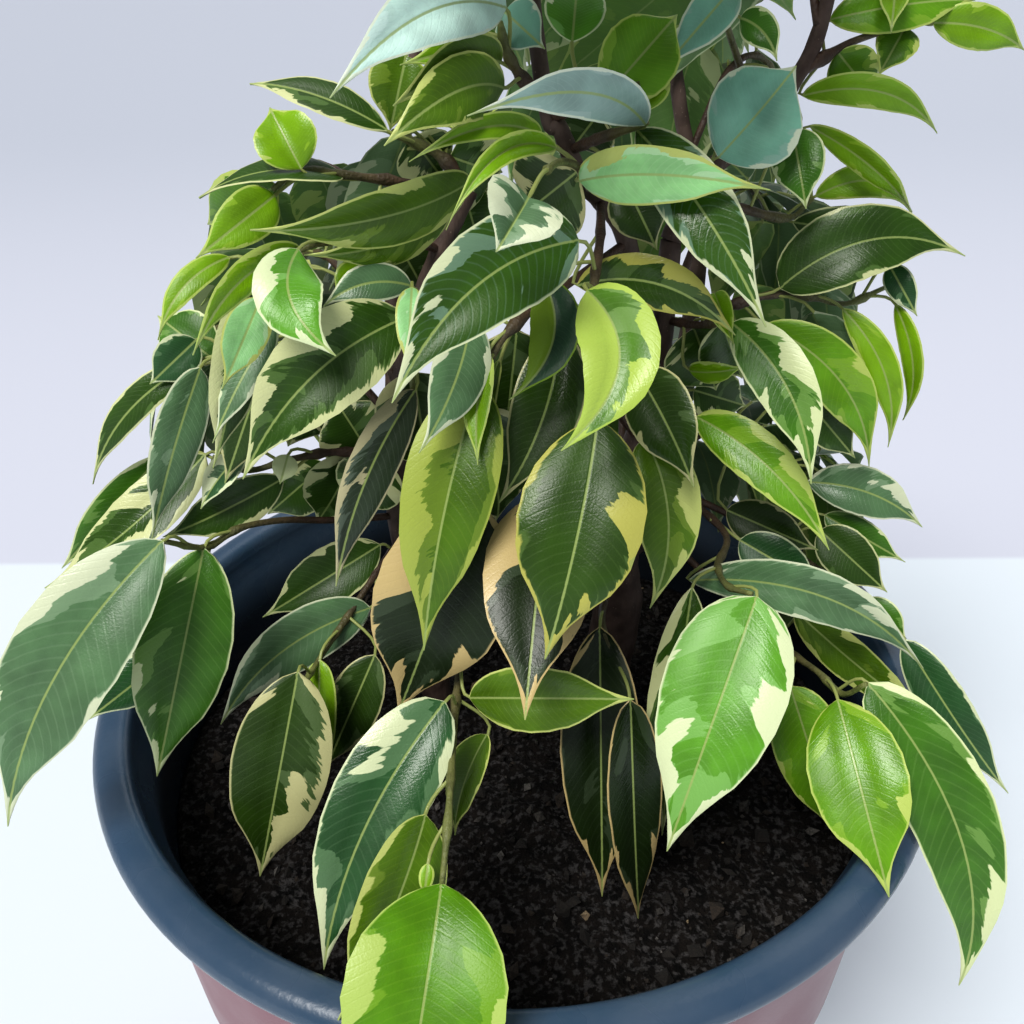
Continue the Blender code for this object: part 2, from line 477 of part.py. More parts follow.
def photo_sprays():
    """The leafy stems that the photo shows, each leaf read off it."""
    return [
        Spray("spray_front_low", stem((404, 400, 2), (440, 430, -8), (466, 545, -26),
              (462, 640, -37), (456, 700, -50), (452, 760, -67), (448, 822, -81), (442, 884, -90)), [
              leaf(442, 884, -90, 404, 1130, -118, 30, arch=0.16),
              leaf(445, 702, -58, 324, 969, -88, 20, bend=0.07),
              leaf(425, 815, -76, 338, 1020, -97, 18, roll=-30),
              leaf(488, 735, -52, 455, 835, -64, 13, roll=50),
              leaf(470, 697, -50, 634, 699, -56, 15, roll=20, bend=-0.03),
              leaf(428, 864, -86, 424, 897, -90, 3)], 0),
        Spray("spray_front_middle", stem((601, 201, 3), (600, 240, -14), (594, 290, -28),
              (600, 345, -36), (601, 418, -42)), [
              leaf(598, 420, -42, 545, 659, -66, 24, fold=10, bend=-0.02),
              leaf(588, 291, -38, 561, 451, -60, 16, fold=30, arch=0.14, bend=-0.24),
              leaf(545, 283, -24, 509, 400, -40, 11, fold=30, bend=-0.19),
              leaf(578, 241, -30, 392, 403, -56, 18, fold=20, arch=0.10, bend=0.12),
              leaf(578, 285, -12, 735, 335, -22, 11, roll=10, arch=0.12, bend=-0.17)], 1),
        Spray("spray_front_right", stem((655, 372, 12), (652, 385, -4), (648, 405, -14),
              (645, 437, -20), (642, 480, -24)), [
              leaf(645, 437, -20, 650, 608, -38, 15, bend=-0.12),
              leaf(637, 372, -16, 694, 487, -36, 15, roll=15, bend=-0.05)], 1),
        Spray("spray_front_inner", stem((640, 440, 10), (600, 400, -4), (566, 440, -18),
              (552, 488, -26)), [
              leaf(549, 494, -29, 525, 720, -70, 23, roll=4),
              leaf(560, 330, -16, 499, 503, -36, 15, bend=-0.07)], 2),
        Spray("spray_front_left", stem((627, 242, 6), (560, 290, -10), (515, 325, -20),
              (490, 360, -24), (477, 420, -28), (475, 500, -32)), [
              leaf(478, 385, -30, 424, 650, -52, 19, roll=5, bend=0.02),
              leaf(487, 355, -26, 478, 465, -40, 7, roll=30),
              leaf(500, 360, -20, 487, 495, -34, 7, roll=55),
              leaf(475, 500, -34, 398, 712, -48, 29, roll=-5),
              leaf(470, 318, -22, 419, 453, -42, 12, roll=-15, bend=-0.03)], 3),
        Spray("spray_centre_low", stem((616, 575, 6), (608, 590, -14), (602, 622, -32),
              (618, 665, -40), (628, 698, -44)), [
              leaf(600, 627, -34, 602, 896, -57, 20, fold=24),
              leaf(630, 700, -44, 638, 918, -58, 14, roll=-30, bend=0.05)], 0),
        Spray("spray_left_curtain", stem((417, 318, 2), (410, 312, -12), (406, 330, -18),
              (413, 390, -20)), [
              leaf(405, 318, -20, 243, 479, -40, 19, fold=18, bend=0.10),
              leaf(415, 390, -20, 336, 586, -42, 11, roll=-20, bend=0.09),
              leaf(412, 288, -22, 407, 374, -34, 6),
              leaf(411, 286, -16, 323, 307, -22, 8, roll=10, bend=0.12),
              leaf(396, 330, -10, 330, 352, -8, 12)], 1),
        Spray("spray_left_upper", stem((440, 250, 4), (400, 238, -6), (350, 238, -14),
              (300, 250, -20), (266, 280, -20)), [
              leaf(298, 250, -24, 336, 356, -42, 13, fold=10, arch=0.12, bend=0.18),
              leaf(300, 250, -18, 193, 355, -36, 7, roll=-20, arch=0.12, bend=0.17),
              leaf(261, 298, -20, 222, 389, -34, 9),
              leaf(243, 292, -14, 213, 468, -28, 11, roll=-20),
              leaf(275, 325, -16, 213, 443, -30, 8, roll=20),
              leaf(264, 366, -8, 225, 483, -18, 12),
              leaf(229, 258, -12, 158, 340, -24, 6, roll=20, arch=0.14, bend=0.08)], 1),
        Spray("spray_left_top", stem((462, 206, 7), (420, 186, 1), (352, 176, -5), (299, 172, -8),
              (272, 190, -10)), [
              leaf(470, 181, -10, 250, 230, -34, 13, roll=-30, arch=0.12),
              leaf(456, 203, -4, 304, 255, -22, 12, roll=-45, arch=0.12),
              leaf(343, 178, -6, 199, 198, -12, 10, roll=60, arch=0.12),
              leaf(301, 169, -8, 270, 108, -3, 14, fold=30),
              leaf(274, 196, -12, 196, 258, -24, 10, arch=0.14),
              leaf(365, 268, -12, 333, 300, -18, 8)], 1),
        Spray("spray_left_middle", stem((399, 455, 5), (336, 452, 0), (288, 460, -6),
              (250, 470, -8), (212, 458, -8)), [
              leaf(283, 478, -8, 163, 537, -18, 12, roll=-15),
              leaf(245, 452, -10, 201, 509, -20, 9, roll=40),
              leaf(288, 455, -8, 280, 484, -12, 6),
              leaf(205, 455, -8, 45, 588, -22, 14, roll=25, bend=-0.08)], 2),
        Spray("spray_left_fan", stem((406, 362, 2), (330, 352, 0), (262, 352, -2),
              (204, 364, -6)), [
              leaf(200, 368, -10, 152, 539, -22, 11, roll=-15, bend=0.04),
              leaf(196, 362, -5, 93, 484, -10, 8, roll=20, bend=0.08),
              leaf(196, 340, -4, 150, 384, -6, 10)], 2),
        Spray("spray_left_far", stem((402, 515, 8), (336, 520, -2), (285, 520, -12),
              (240, 528, -20), (206, 547, -27), (162, 541, -38)), [
              leaf(204, 548, -28, 157, 776, -48, 21),
              leaf(163, 541, -38, 8, 826, -66, 23, roll=10, bend=0.07),
              leaf(190, 640, -24, 86, 721, -38, 12)], 1),
        Spray("spray_left_low", stem((403, 540, 9), (385, 560, 0), (352, 610, -12),
              (322, 655, -24), (300, 690, -36)), [
              leaf(298, 672, -37, 260, 876, -54, 23),
              leaf(320, 660, -26, 328, 775, -36, 9, roll=20),
              leaf(375, 655, -20, 325, 770, -26, 14),
              leaf(370, 608, -12, 221, 724, -30, 15, roll=-15, bend=0.13),
              leaf(380, 545, 2, 263, 617, -8, 15)], 1),
        Spray("spray_right_front", stem((636, 455, 10), (690, 500, 0), (726, 535, -14),
              (718, 566, -24), (728, 586, -34), (752, 594, -41)), [
              leaf(757, 597, -42, 667, 851, -72, 26, fold=10),
              leaf(692, 588, -30, 662, 835, -50, 14, roll=-15, bend=0.03),
              leaf(690, 580, -22, 923, 668, -36, 13, roll=20, arch=0.1, bend=-0.17),
              leaf(740, 540, -12, 825, 590, -20, 12)], 1),
        Spray("spray_right_low", stem((622, 490, 8), (690, 560, 2), (752, 620, -12),
              (790, 652, -24), (818, 672, -34), (842, 694, -43), (866, 684, -50)), [
              leaf(838, 700, -46, 889, 897, -68, 21),
              leaf(790, 686, -34, 838, 838, -50, 17),
              leaf(868, 683, -50, 959, 985, -76, 19, bend=-0.12),
              leaf(795, 610, -14, 935, 723, -26, 11, roll=15),
              leaf(865, 599, -4, 907, 641, -10, 9)], 1),
        Spray("spray_right_edge", stem((628, 470, 9), (740, 520, 10), (820, 570, 2),
              (868, 604, -6), (905, 640, -14)), [
              leaf(905, 640, -16, 1008, 793, -36, 12, roll=10),
              leaf(820, 530, 4, 887, 592, -6, 13),
              leaf(825, 515, 8, 905, 562, 0, 9)], 1),
        Spray("spray_right_middle", stem((655, 400, 12), (715, 420, 15), (768, 452, 13),
              (815, 486, 11)), [
              leaf(808, 482, 10, 922, 527, 2, 13, bend=-0.10),
              leaf(805, 398, 12, 855, 458, 6, 11),
              leaf(697, 417, -6, 829, 550, -30, 12, bend=-0.08),
              leaf(727, 510, 0, 818, 550, -8, 12)], 2),
        Spray("spray_right_fan", stem((664, 320, 14), (700, 325, 4), (726, 318, -4),
              (736, 326, -8)), [
              leaf(732, 323, -10, 811, 484, -32, 13, bend=-0.11),
              leaf(715, 294, -4, 734, 345, -14, 8, fold=50),
              leaf(690, 370, 0, 745, 366, -6, 7, roll=40)], 1),
        Spray("spray_right_upper", stem((668, 290, 15), (720, 306, 16), (770, 295, 17),
              (809, 296, 18), (845, 304, 18), (884, 288, 20)), [
              leaf(765, 325, 14, 869, 466, 2, 14, bend=-0.14),
              leaf(843, 309, 16, 888, 447, 6, 8, bend=-0.12),
              leaf(896, 305, 18, 903, 420, 12, 6, roll=30, bend=-0.17),
              leaf(890, 266, 20, 917, 316, 14, 7),
              leaf(780, 288, 16, 965, 256, 16, 18, roll=-10, arch=0.12, bend=-0.15)], 1),
        Spray("spray_right_high", stem((690, 190, 17), (735, 206, 22), (788, 218, 27),
              (812, 198, 29)), [
              leaf(793, 222, 30, 940, 245, 32, 12),
              leaf(816, 196, 30, 912, 215, 28, 8, arch=0.14, bend=-0.24),
              leaf(811, 126, 32, 912, 212, 26, 7, roll=30, arch=0.2, bend=-0.18),
              leaf(793, 130, 20, 806, 209, 10, 12)], 1),
        Spray("spray_centre_high", stem((590, 190, 2), (588, 176, -12), (575, 165, -20),
              (560, 162, -28), (547, 170, -36)), [
              leaf(580, 180, -18, 770, 190, -34, 11, roll=15, arch=0.12, bend=-0.08),
              leaf(555, 148, -20, 446, 230, -40, 6, fold=40, arch=0.14, bend=0.16),
              leaf(540, 135, -8, 409, 162, -24, 6, fold=35, arch=0.14, bend=0.11),
              leaf(528, 199, -46, 496, 252, -56, 16, fold=35)], 3),
        Spray("spray_centre_right", stem((571, 150, 1), (600, 138, -10), (632, 128, -16),
              (648, 122, -18)), [
              leaf(637, 130, -14, 766, 327, -38, 13, arch=0.12, bend=-0.04),
              leaf(645, 124, -18, 467, 116, -36, 9, roll=-15, arch=0.12, bend=0.16),
              leaf(625, 182, -6, 657, 250, -12, 12)], 2),
        Spray("spray_top_left", stem((547, 104, 3), (522, 78, 0), (506, 50, -3), (500, 22, -5)), [
              leaf(500, 62, -4, 393, 106, -22, 10, roll=-15, arch=0.14, bend=0.12),
              leaf(503, 88, -8, 384, 146, -28, 12, arch=0.14, bend=0.09),
              leaf(505, 8, -5, 330, 98, -32, 12, arch=0.12, bend=0.12),
              leaf(497, 38, 0, 400, 65, -12, 7),
              leaf(505, 12, 2, 545, 49, -12, 10)], 1),
        Spray("spray_left_crown", stem((470, 190, 8), (440, 156, 9), (392, 133, 4)), [
              leaf(387, 131, 2, 250, 84, 8, 9, roll=40, arch=0.1)], 2),
        Spray("spray_top_middle", stem((553, 118, 2), (585, 102, -8), (604, 98, -14),
              (640, 84, -16)), [
              leaf(604, 98, -16, 677, 15, -4, 15, fold=20),
              leaf(648, 110, -16, 650, 62, -12, 8),
              leaf(572, 42, -4, 578, -22, 8, 12)], 1),
        Spray("spray_top_right", stem((740, 140, 23), (748, 95, 28), (738, 60, 26),
              (726, 20, 20), (726, -16, 16)), [
              leaf(718, 157, 10, 796, 66, 18, 22, roll=10),
              leaf(735, -15, 8, 661, 71, -8, 9),
              leaf(741, 18, 6, 777, 61, 0, 7, bend=-0.12)], 0),
        Spray("spray_right_tip", stem((800, 74, 30), (838, 49, 34), (868, 36, 36), (914, 23, 39),
              (932, 22, 40)), [
              leaf(933, 23, 40, 1024, 50, 40, 10, bend=-0.08),
              leaf(830, 20, 38, 975, 0, 42, 12, roll=-20),
              leaf(905, 28, 38, 878, 76, 28, 10),
              leaf(897, -25, 40, 891, 33, 28, 7),
              leaf(803, 95, 32, 937, 133, 28, 8, roll=20, arch=0.10, bend=-0.20)], 1),
    ]


# Leafy stems that the photo doesn't show: name, limb of which stem, share of the way along it,
# azimuth in degrees (0 is +X, 90 is away from the viewer), reach, rise at the middle, leaf count
Rule = namedtuple("Rule", "name side limb along azimuth reach rise leaves")
RULE_SPRAYS = [
    Rule("spray_back_low_1", 0, 0, 0.50, 36, 80, 32, 7),
    Rule("spray_back_low_2", 0, 0, 0.54, 86, 84, 34, 7),
    Rule("spray_back_low_3", 0, 3, 0.34, 106, 62, 12, 7),
    Rule("spray_back_low_4", 1, 0, 0.52, 122, 86, 32, 7),
    Rule("spray_back_low_5", 1, 0, 0.46, 156, 80, 30, 7),
    Rule("spray_back_middle_1", 0, 0, 0.86, 52, 72, 34, 7),
    Rule("spray_back_middle_2", 0, 3, 0.66, 40, 50, 30, 7),
    Rule("spray_back_middle_3", 0, 3, 0.80, 112, 56, 30, 7),
    Rule("spray_back_middle_4", 1, 1, 0.60, 158, 56, 22, 7),
    Rule("spray_back_high_1", 0, 3, 0.97, 72, 44, 32, 7),
    Rule("spray_back_high_2", 0, 2, 0.80, 138, 50, 26, 7),
    Rule("spray_back_high_3", 0, 1, 0.80, 104, 46, 26, 7),
    Rule("spray_crown_right", 0, 1, 0.93, 40, 44, 22, 7),
    Rule("spray_crown_back", 0, 2, 0.90, 100, 48, 22, 7),
    Rule("spray_crown_front", 0, 2, 0.97, 250, 44, 20, 7),
    Rule("spray_crown_top", 0, 2, 0.985, 330, 46, 26, 7),
]


def point_along(path, share):
    """Point and direction at a share of a path's point count."""
    place = share * (len(path) - 1)
    index = min(int(place), len(path) - 2)
    part = place - index
    point = path[index] * (1 - part) + path[index + 1] * part
    return point, unit(path[index + 1] - path[index])


def rule_stem(rule, stems):
    """An arching twig: out along its azimuth, up to its rise and then drooping."""
    start, _ = point_along(stems[rule.side][rule.limb].path, rule.along)
    azimuth = math.radians(rule.azimuth)
    outward = np.array([math.cos(azimuth), math.sin(azimuth), 0.0])
    points = []
    for share in (0.0, 0.25, 0.5, 0.75, 1.0):
        height = rule.rise * 4 * share * (1 - share) * (1 - 0.25 * share) - 0.12 * rule.reach * share
        points.append(start + outward * rule.reach * share + UP * height)
    return points


def rule_leaf(path, share, side, draw, hidden):
    """A hanging leaf at a share of a twig, on its left or right side."""
    point, along = point_along(path, share)
    sideways = unit(np.cross(along, UP) + 0.001 * AWAY)
    outward = unit(point * np.array([1.0, 1.0, 0.0]) + 0.001 * AWAY)
    if hidden:
        outward = unit(outward + 1.4 * AWAY)
    petiole = unit(0.6 * along + side * draw.uniform(0.5, 0.9) * sideways + 0.35 * outward
                   + draw.uniform(-0.1, 0.5) * UP)
    base = point + petiole * PETIOLE_LENGTH * draw.uniform(0.9, 1.4)
    fall = draw.uniform(0.5, 1.3)
    way = unit(0.4 * along + side * draw.uniform(0.2, 0.7) * sideways + 0.45 * outward - fall * UP)
    long = draw.uniform(38.0, 56.0)
    facing = unit(outward * draw.uniform(0.5, 1.0) + UP * draw.uniform(0.5, 1.0)
                  + sideways * draw.uniform(-0.4, 0.4))
    return Leaf(share, point, base, base + way * long, facing, long * draw.uniform(0.38, 0.47),
                draw.uniform(5.0, 25.0), draw.uniform(0.06, 0.14), draw.uniform(-0.06, 0.06))


def root_on(path, item):
    """The share of a twig from which a leaf's petiole grows most naturally."""
    best = None
    way = unit(midrib(item, 0.05) - item.base)
    for share in np.linspace(0.06, 0.995, 60):
        point, _ = point_along(path, share)
        reach = item.base - point
        length = np.linalg.norm(reach)
        cost = abs(length - PETIOLE_LENGTH) - 7.0 * np.dot(unit(reach), way)
        if best is None or cost < best[0]:
            best = (cost, share)
    return best[1]


def bark_gap(barks, points):
    """The smallest distance from points to the bark, below zero for a point inside the wood."""
    gaps = []
    for tree in barks:
        for point in points:
            nearest, normal, _, distance = tree.find_nearest(point.tolist())
            inside = np.dot(point - np.array(nearest), np.array(normal)) < 0
            gaps.append(-distance if inside else distance)
    return min(gaps)


def trimmed(path, barks, radius):
    """A twig's path cut back to start just clear of the limb that it grows on."""
    fine = smooth(path, TRIM_STEPS)
    for index in range(len(fine) - TRIM_STEPS):
        ring, _ = tube(fine[index:index + 2], [radius, radius], TWIG_SIDES)
        corners = ring[:TWIG_SIDES]
        edges = (corners + np.roll(corners, 1, axis=0)) / 2
        if bark_gap(barks, [*corners, *edges]) > TWIG_GAP:
            break
    keep = [fine[index]]
    for point in path:
        if np.argmin(np.linalg.norm(fine - point, axis=1)) > index + TRIM_STEPS // 3:
            keep.append(point)
    return keep


class Neighbours:
    """Every solid placed so far, to find room for the next."""

    def __init__(self):
        self.names = []
        self.lows = np.empty((0, 3))
        self.highs = np.empty((0, 3))
        self.trees = []

    def add(self, name, verts, faces):
        self.names.append(name)
        self.lows = np.vstack([self.lows, verts.min(axis=0)])
        self.highs = np.vstack([self.highs, verts.max(axis=0)])
        self.trees.append(BVHTree.FromPolygons(verts.tolist(), faces))

    def touches(self, name, verts, faces):
        """Names of the other nodes that the shape crosses."""
        low, high = verts.min(axis=0), verts.max(axis=0)
        near = np.all((self.lows < high) & (self.highs > low), axis=1)
        tree = None
        found = []
        for index in np.nonzero(near)[0]:
            if self.names[index] == name:
                continue
            tree = tree or BVHTree.FromPolygons(verts.tolist(), faces)
            if tree.overlap(self.trees[index]):
                found.append(self.names[index])
        return found


def photo_variants():
    """Small moves along the sight line, nearest first: base, tip, and turn of the blade."""
    moves = [(base, tip, roll) for base in (0, 2, -2, 4, -4, 7, -7) for tip in
             (0, 3, -3, 6, -6, 10, -10, 14, -14) for roll in (0, 12, -12, 25, -25)]
    return sorted(moves, key=lambda m: abs(m[0]) * 1.5 + abs(m[1]) + abs(m[2]) * 0.3)


def along_sight(point, depth):
    """The point moved along its sight line until its y has changed by depth."""
    line = point - VIEWPOINT
    return point + line * depth / line[1]


def moved_photo_leaf(item, move, path):
    """A photo leaf moved along its sight lines, which keeps its place in the photo."""
    base = along_sight(item.base, move[0])
    tip = along_sight(item.tip, move[1])
    facing = turned(item.facing, unit(tip - base), math.radians(move[2]))
    changed = item._replace(base=base, tip=tip, facing=facing)
    share = root_on(path, changed)
    return changed._replace(share=share, root=point_along(path, share)[0])


def rule_variants():
    """Turns and lengths tried for a rule's leaf, the gentlest first."""
    moves = [(yaw, pitch, size) for size in (1.0, 0.85, 0.7) for yaw in (0, 18, -18, 36, -36, 55, -55)
             for pitch in (0, 15, -15, 30, -30)]
    return sorted(moves, key=lambda m: abs(m[0]) + abs(m[1]) + 90 * (1 - m[2]))


def moved_rule_leaf(item, move):
    """A rule's leaf swung about its root and scaled."""
    yaw, pitch, size = move
    level = unit(np.cross(item.tip - item.base, UP) + 0.001 * AWAY)
    base = item.root + turned(turned(item.base - item.root, UP, math.radians(yaw)), level,
                              math.radians(pitch))
    blade_way = turned(turned(item.tip - item.base, UP, math.radians(yaw)), level,
                       math.radians(pitch))
    facing = turned(turned(item.facing, UP, math.radians(yaw)), level, math.radians(pitch))
    return item._replace(base=base, tip=base + blade_way * size, facing=facing,
                         wide=item.wide * size)


def settle(name, choices, neighbours, siblings, must_clear):
    """The first choice that crosses nothing, or else no other node, or else None.

    A leaf that must clear also keeps out of the photograph's way and never takes second best.
    """
    second = None
    for choice in choices:
        verts, faces = blade(choice, LEAF_CLEARANCE)
        if must_clear and not out_of_the_way(verts):
            continue
        if neighbours.touches(name, verts, faces):
            continue
        if not siblings.touches(name, verts[4:], blade_only(faces)):
            second = choice
            break
        second = second or (None if must_clear else choice)
    if second is not None:
        verts, faces = blade(second)
        neighbours.add(name, verts, faces)
        siblings.add(name + "_leaf", verts, faces)
    return second


def blade_only(faces):
    """The faces beyond the petiole, whose first ring of four points is left out."""
    return [tuple(corner - 4 for corner in face) for face in faces if min(face) > 3]


def grow(stems, neighbours):
    """Paths and leaves of every leafy stem, each leaf clear of every other node."""
    barks = [tree for name, tree in zip(neighbours.names, neighbours.trees) if name in WOODS]
    sprays = photo_sprays()
    paths = {}
    for item in sprays:
        paths[item.name] = np.array(trimmed(item.stem, barks, TWIG_START))
    for rule in RULE_SPRAYS:
        paths[rule.name] = np.array(trimmed(rule_stem(rule, stems), barks, TWIG_START))
    for name, path in paths.items():
        verts, faces = tube(path, twig_radii(path), TWIG_SIDES)
        crossed = neighbours.touches(name, verts, faces)
        if crossed:
            print(name, "twig crosses", crossed)
        neighbours.add(name, verts, faces)
    leaves = {name: [] for name in paths}
    siblings = {name: Neighbours() for name in paths}
    for item in sprays:
        for index, wanted in enumerate(item.leaves):
            choices = (moved_photo_leaf(wanted, move, paths[item.name]) for move in photo_variants())
            kept = settle(item.name, choices, neighbours, siblings[item.name], False)
            if kept is None:
                print(item.name, "leaf", index, "found no room")
            else:
                leaves[item.name].append(kept)
    draw = random.Random(SEED)
    plan = [(rule.name, rule.leaves, False) for rule in RULE_SPRAYS]
    plan += [(item.name, item.fill, True) for item in sprays]
    for name, count, hidden in plan:
        for index in range(count):
            share = 0.22 + 0.775 * (index + 0.5) / count
            side = 1 if index % 2 else -1
            wanted = rule_leaf(paths[name], share, side, draw, hidden)
            choices = (moved_rule_leaf(wanted, move) for move in rule_variants())
            kept = settle(name, choices, neighbours, siblings[name], True)
            if kept is not None:
                leaves[name].append(kept)
    return paths, leaves


def twig_radii(path):
    """A twig thins a little towards its tip."""
    return np.linspace(TWIG_START, TWIG_END, len(path))


def closed(mesh):
    """Whether every edge of a mesh joins exactly two faces."""
    work = bmesh.new()
    work.from_mesh(mesh)
    whole = all(len(edge.link_faces) == 2 for edge in work.edges)
    work.free()
    return whole


def fuse(name, shapes, finish):
    """One object from shapes that are sunk into each other, closed by whichever solver manages."""
    for solver in ("MANIFOLD", "EXACT"):
        body = place(name, new_mesh(name, *shapes[0]), finish)
        others = [bpy.data.objects.new(f"{name}_{index}", new_mesh(f"{name}_{index}", *shape))
                  for index, shape in enumerate(shapes[1:])]
        if others:
            combine(body, others, "UNION", solver)
            body.data.materials.clear()
            body.data.materials.append(finish)
        largest_body(body)
        if closed(body.data) or solver == "EXACT":
            return body
        print(name, "is joined again with the slower solver")
        bpy.data.objects.remove(body)


def obstacle(neighbours, thing):
    """Enter a finished object among the neighbours."""
    verts = np.array([vert.co[:] for vert in thing.data.vertices]) / MM
    faces = [tuple(face.vertices) for face in thing.data.polygons]
    neighbours.add(thing.name, verts, faces)


def main():
    for thing in list(bpy.data.objects):
        bpy.data.objects.remove(thing)
    pink = material("pink plastic", (0.42, 0.16, 0.19), 0.5)
    slate = material("slate blue plastic", (0.07, 0.13, 0.24), 0.4)
    peat = material("peat", (0.015, 0.011, 0.009), 0.95)
    bark = material("bark", (0.16, 0.10, 0.08), 0.8)
    green = material("leaf green", (0.10, 0.25, 0.05), 0.4)
    stems = woody_frame()
    neighbours = Neighbours()
    obstacle(neighbours, make_pot(pink))
    obstacle(neighbours, make_liner(slate))
    obstacle(neighbours, make_soil(peat, [stems[0][0], stems[1][0]]))
    for name, limbs in zip(WOODS, stems):
        shapes = [tube(limb.path, limb.radii, BARK_SIDES) for limb in limbs]
        obstacle(neighbours, fuse(name, shapes, bark))
    paths, leaves = grow(stems, neighbours)
    for name, path in paths.items():
        shapes = [tube(path, twig_radii(path), TWIG_SIDES)]
        shapes += [blade(item) for item in leaves[name]]
        fuse(name, shapes, green)
    return paths, leaves


grown = main()
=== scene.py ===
# %% [markdown]
# # A young weeping fig in a plastic pot
#
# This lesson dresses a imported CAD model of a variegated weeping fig. The real plant is leaves, twigs, two
# woody stems, peat and two nested plastic pots, and the CAD model already has each of them as a plain
# solid. Here each solid gets a finer skin in the same place, and its finish: cream-edged leaves, cracked
# bark, crumbly peat and dusty plastic. Some leaves deep in the crown are the scene's own.

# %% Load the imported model
import math
import random
from collections import namedtuple

import bpy
import numpy as np
from mathutils import Matrix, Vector
from mathutils.bvhtree import BVHTree


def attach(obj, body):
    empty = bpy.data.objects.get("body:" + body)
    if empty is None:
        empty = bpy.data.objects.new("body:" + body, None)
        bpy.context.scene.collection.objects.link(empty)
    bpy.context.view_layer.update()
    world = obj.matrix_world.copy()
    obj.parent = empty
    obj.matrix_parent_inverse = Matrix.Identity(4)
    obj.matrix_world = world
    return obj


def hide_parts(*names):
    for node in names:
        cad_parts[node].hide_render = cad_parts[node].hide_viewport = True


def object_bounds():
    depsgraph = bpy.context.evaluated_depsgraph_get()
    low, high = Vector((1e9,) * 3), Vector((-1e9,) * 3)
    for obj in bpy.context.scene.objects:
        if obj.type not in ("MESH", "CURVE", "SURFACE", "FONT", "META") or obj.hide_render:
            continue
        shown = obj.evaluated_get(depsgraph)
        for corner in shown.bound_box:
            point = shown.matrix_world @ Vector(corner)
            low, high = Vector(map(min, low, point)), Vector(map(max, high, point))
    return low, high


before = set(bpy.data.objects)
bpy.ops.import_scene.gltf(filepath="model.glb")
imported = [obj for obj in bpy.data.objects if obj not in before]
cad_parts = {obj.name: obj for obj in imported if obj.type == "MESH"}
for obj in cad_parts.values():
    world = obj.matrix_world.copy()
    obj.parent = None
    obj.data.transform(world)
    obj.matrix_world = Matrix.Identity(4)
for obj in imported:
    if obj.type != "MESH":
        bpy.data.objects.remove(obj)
cad_box = [list(corner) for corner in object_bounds()]
print("CAD nodes:", len(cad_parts), "box:", [[round(x, 4) for x in corner] for corner in cad_box])

# %% [markdown]
# ## The photograph's view
#
# The plant was photographed from close above its pot, so the rim is a wide ellipse and the near leaves are
# much larger than the far ones. One viewpoint serves twice: the camera stands there, and every leaf is
# placed by the two photo points where its blade starts and ends, each with a depth. Lengths are
# millimetres, as on a grower's ruler, and become metres when a mesh is made.

# %% Viewpoint and camera
MM = 0.001
RIM_TOP = 188.0
PHOTO_POINTS = 1024
PHOTO_MIDDLE = PHOTO_POINTS / 2
FOCAL_POINTS = 1000.0
VIEWPOINT = np.array([0.4, -209.5, RIM_TOP + 181.4])
LOOKS_DOWN = math.radians(32.86)
TURNED = math.radians(-1.02)
SENSOR = 36.0
NEAREST = 0.01
TINY = 1e-9
UP = np.array([0.0, 0.0, 1.0])
AWAY = np.array([0.0, 1.0, 0.0])
# Added to a direction that might vanish, so that it never does
NUDGE = 0.001 * AWAY


def unit(vector):
    """The same direction with length one."""
    return vector / max(np.linalg.norm(vector), TINY)


def view_axes():
    """Right, up and forward directions of the photograph's view."""
    forward = np.array([0.0, math.cos(LOOKS_DOWN), -math.sin(LOOKS_DOWN)])
    level_up = np.array([0.0, math.sin(LOOKS_DOWN), math.cos(LOOKS_DOWN)])
    right = np.array([1.0, 0.0, 0.0])
    turned_right = math.cos(TURNED) * right + math.sin(TURNED) * level_up
    turned_up = -math.sin(TURNED) * right + math.cos(TURNED) * level_up
    return turned_right, turned_up, forward


def seen(u, v, depth):
    """The point on the sight line through photo point (u, v) that lies at y = depth."""
    right, up, forward = view_axes()
    across = (u - PHOTO_MIDDLE) / FOCAL_POINTS
    down = (v - PHOTO_MIDDLE) / FOCAL_POINTS
    line = forward + across * right - down * up
    return VIEWPOINT + line * (depth - VIEWPOINT[1]) / line[1]


def photo_place(points):
    """Where points of the plant appear in the photograph: point across and point down."""
    right, up, forward = view_axes()
    lines = points - VIEWPOINT
    scale = FOCAL_POINTS / (lines @ forward)
    return PHOTO_MIDDLE + lines @ right * scale, PHOTO_MIDDLE - lines @ up * scale


def make_camera():
    """A camera at the viewpoint, whose axes are the view's right, up and backward directions."""
    data = bpy.data.cameras.new("photo_camera")
    data.sensor_width = SENSOR
    data.lens = SENSOR * FOCAL_POINTS / PHOTO_POINTS
    data.clip_start = NEAREST
    made = bpy.data.objects.new("photo_camera", data)
    bpy.context.scene.collection.objects.link(made)
    right, up, forward = view_axes()
    place = np.eye(4)
    place[:3, 0], place[:3, 1], place[:3, 2] = right, up, -forward
    place[:3, 3] = VIEWPOINT * MM
    made.matrix_world = Matrix(place.tolist())
    bpy.context.scene.camera = made
    return made


camera = make_camera()
print("camera at", [round(value, 4) for value in camera.location], "lens", round(camera.data.lens, 2))

# %% [markdown]
# ## Helpers for surfaces
#
# Every new piece is a grid of points: rings of points along a path or a profile, joined by four-cornered
# faces. Numpy works out all the points at once, and the mesh takes them in one call. A grid that closes on
# itself and has a face on each end is a solid, which prints and renders well from all sides. A curve would
# do for a twig, but a grid also does for a leaf, so one way serves every piece.

# %% Paths
# A direction that no twig follows: the first ring of every tube is turned from it
LEAN = AWAY + 0.31 * UP + 0.17


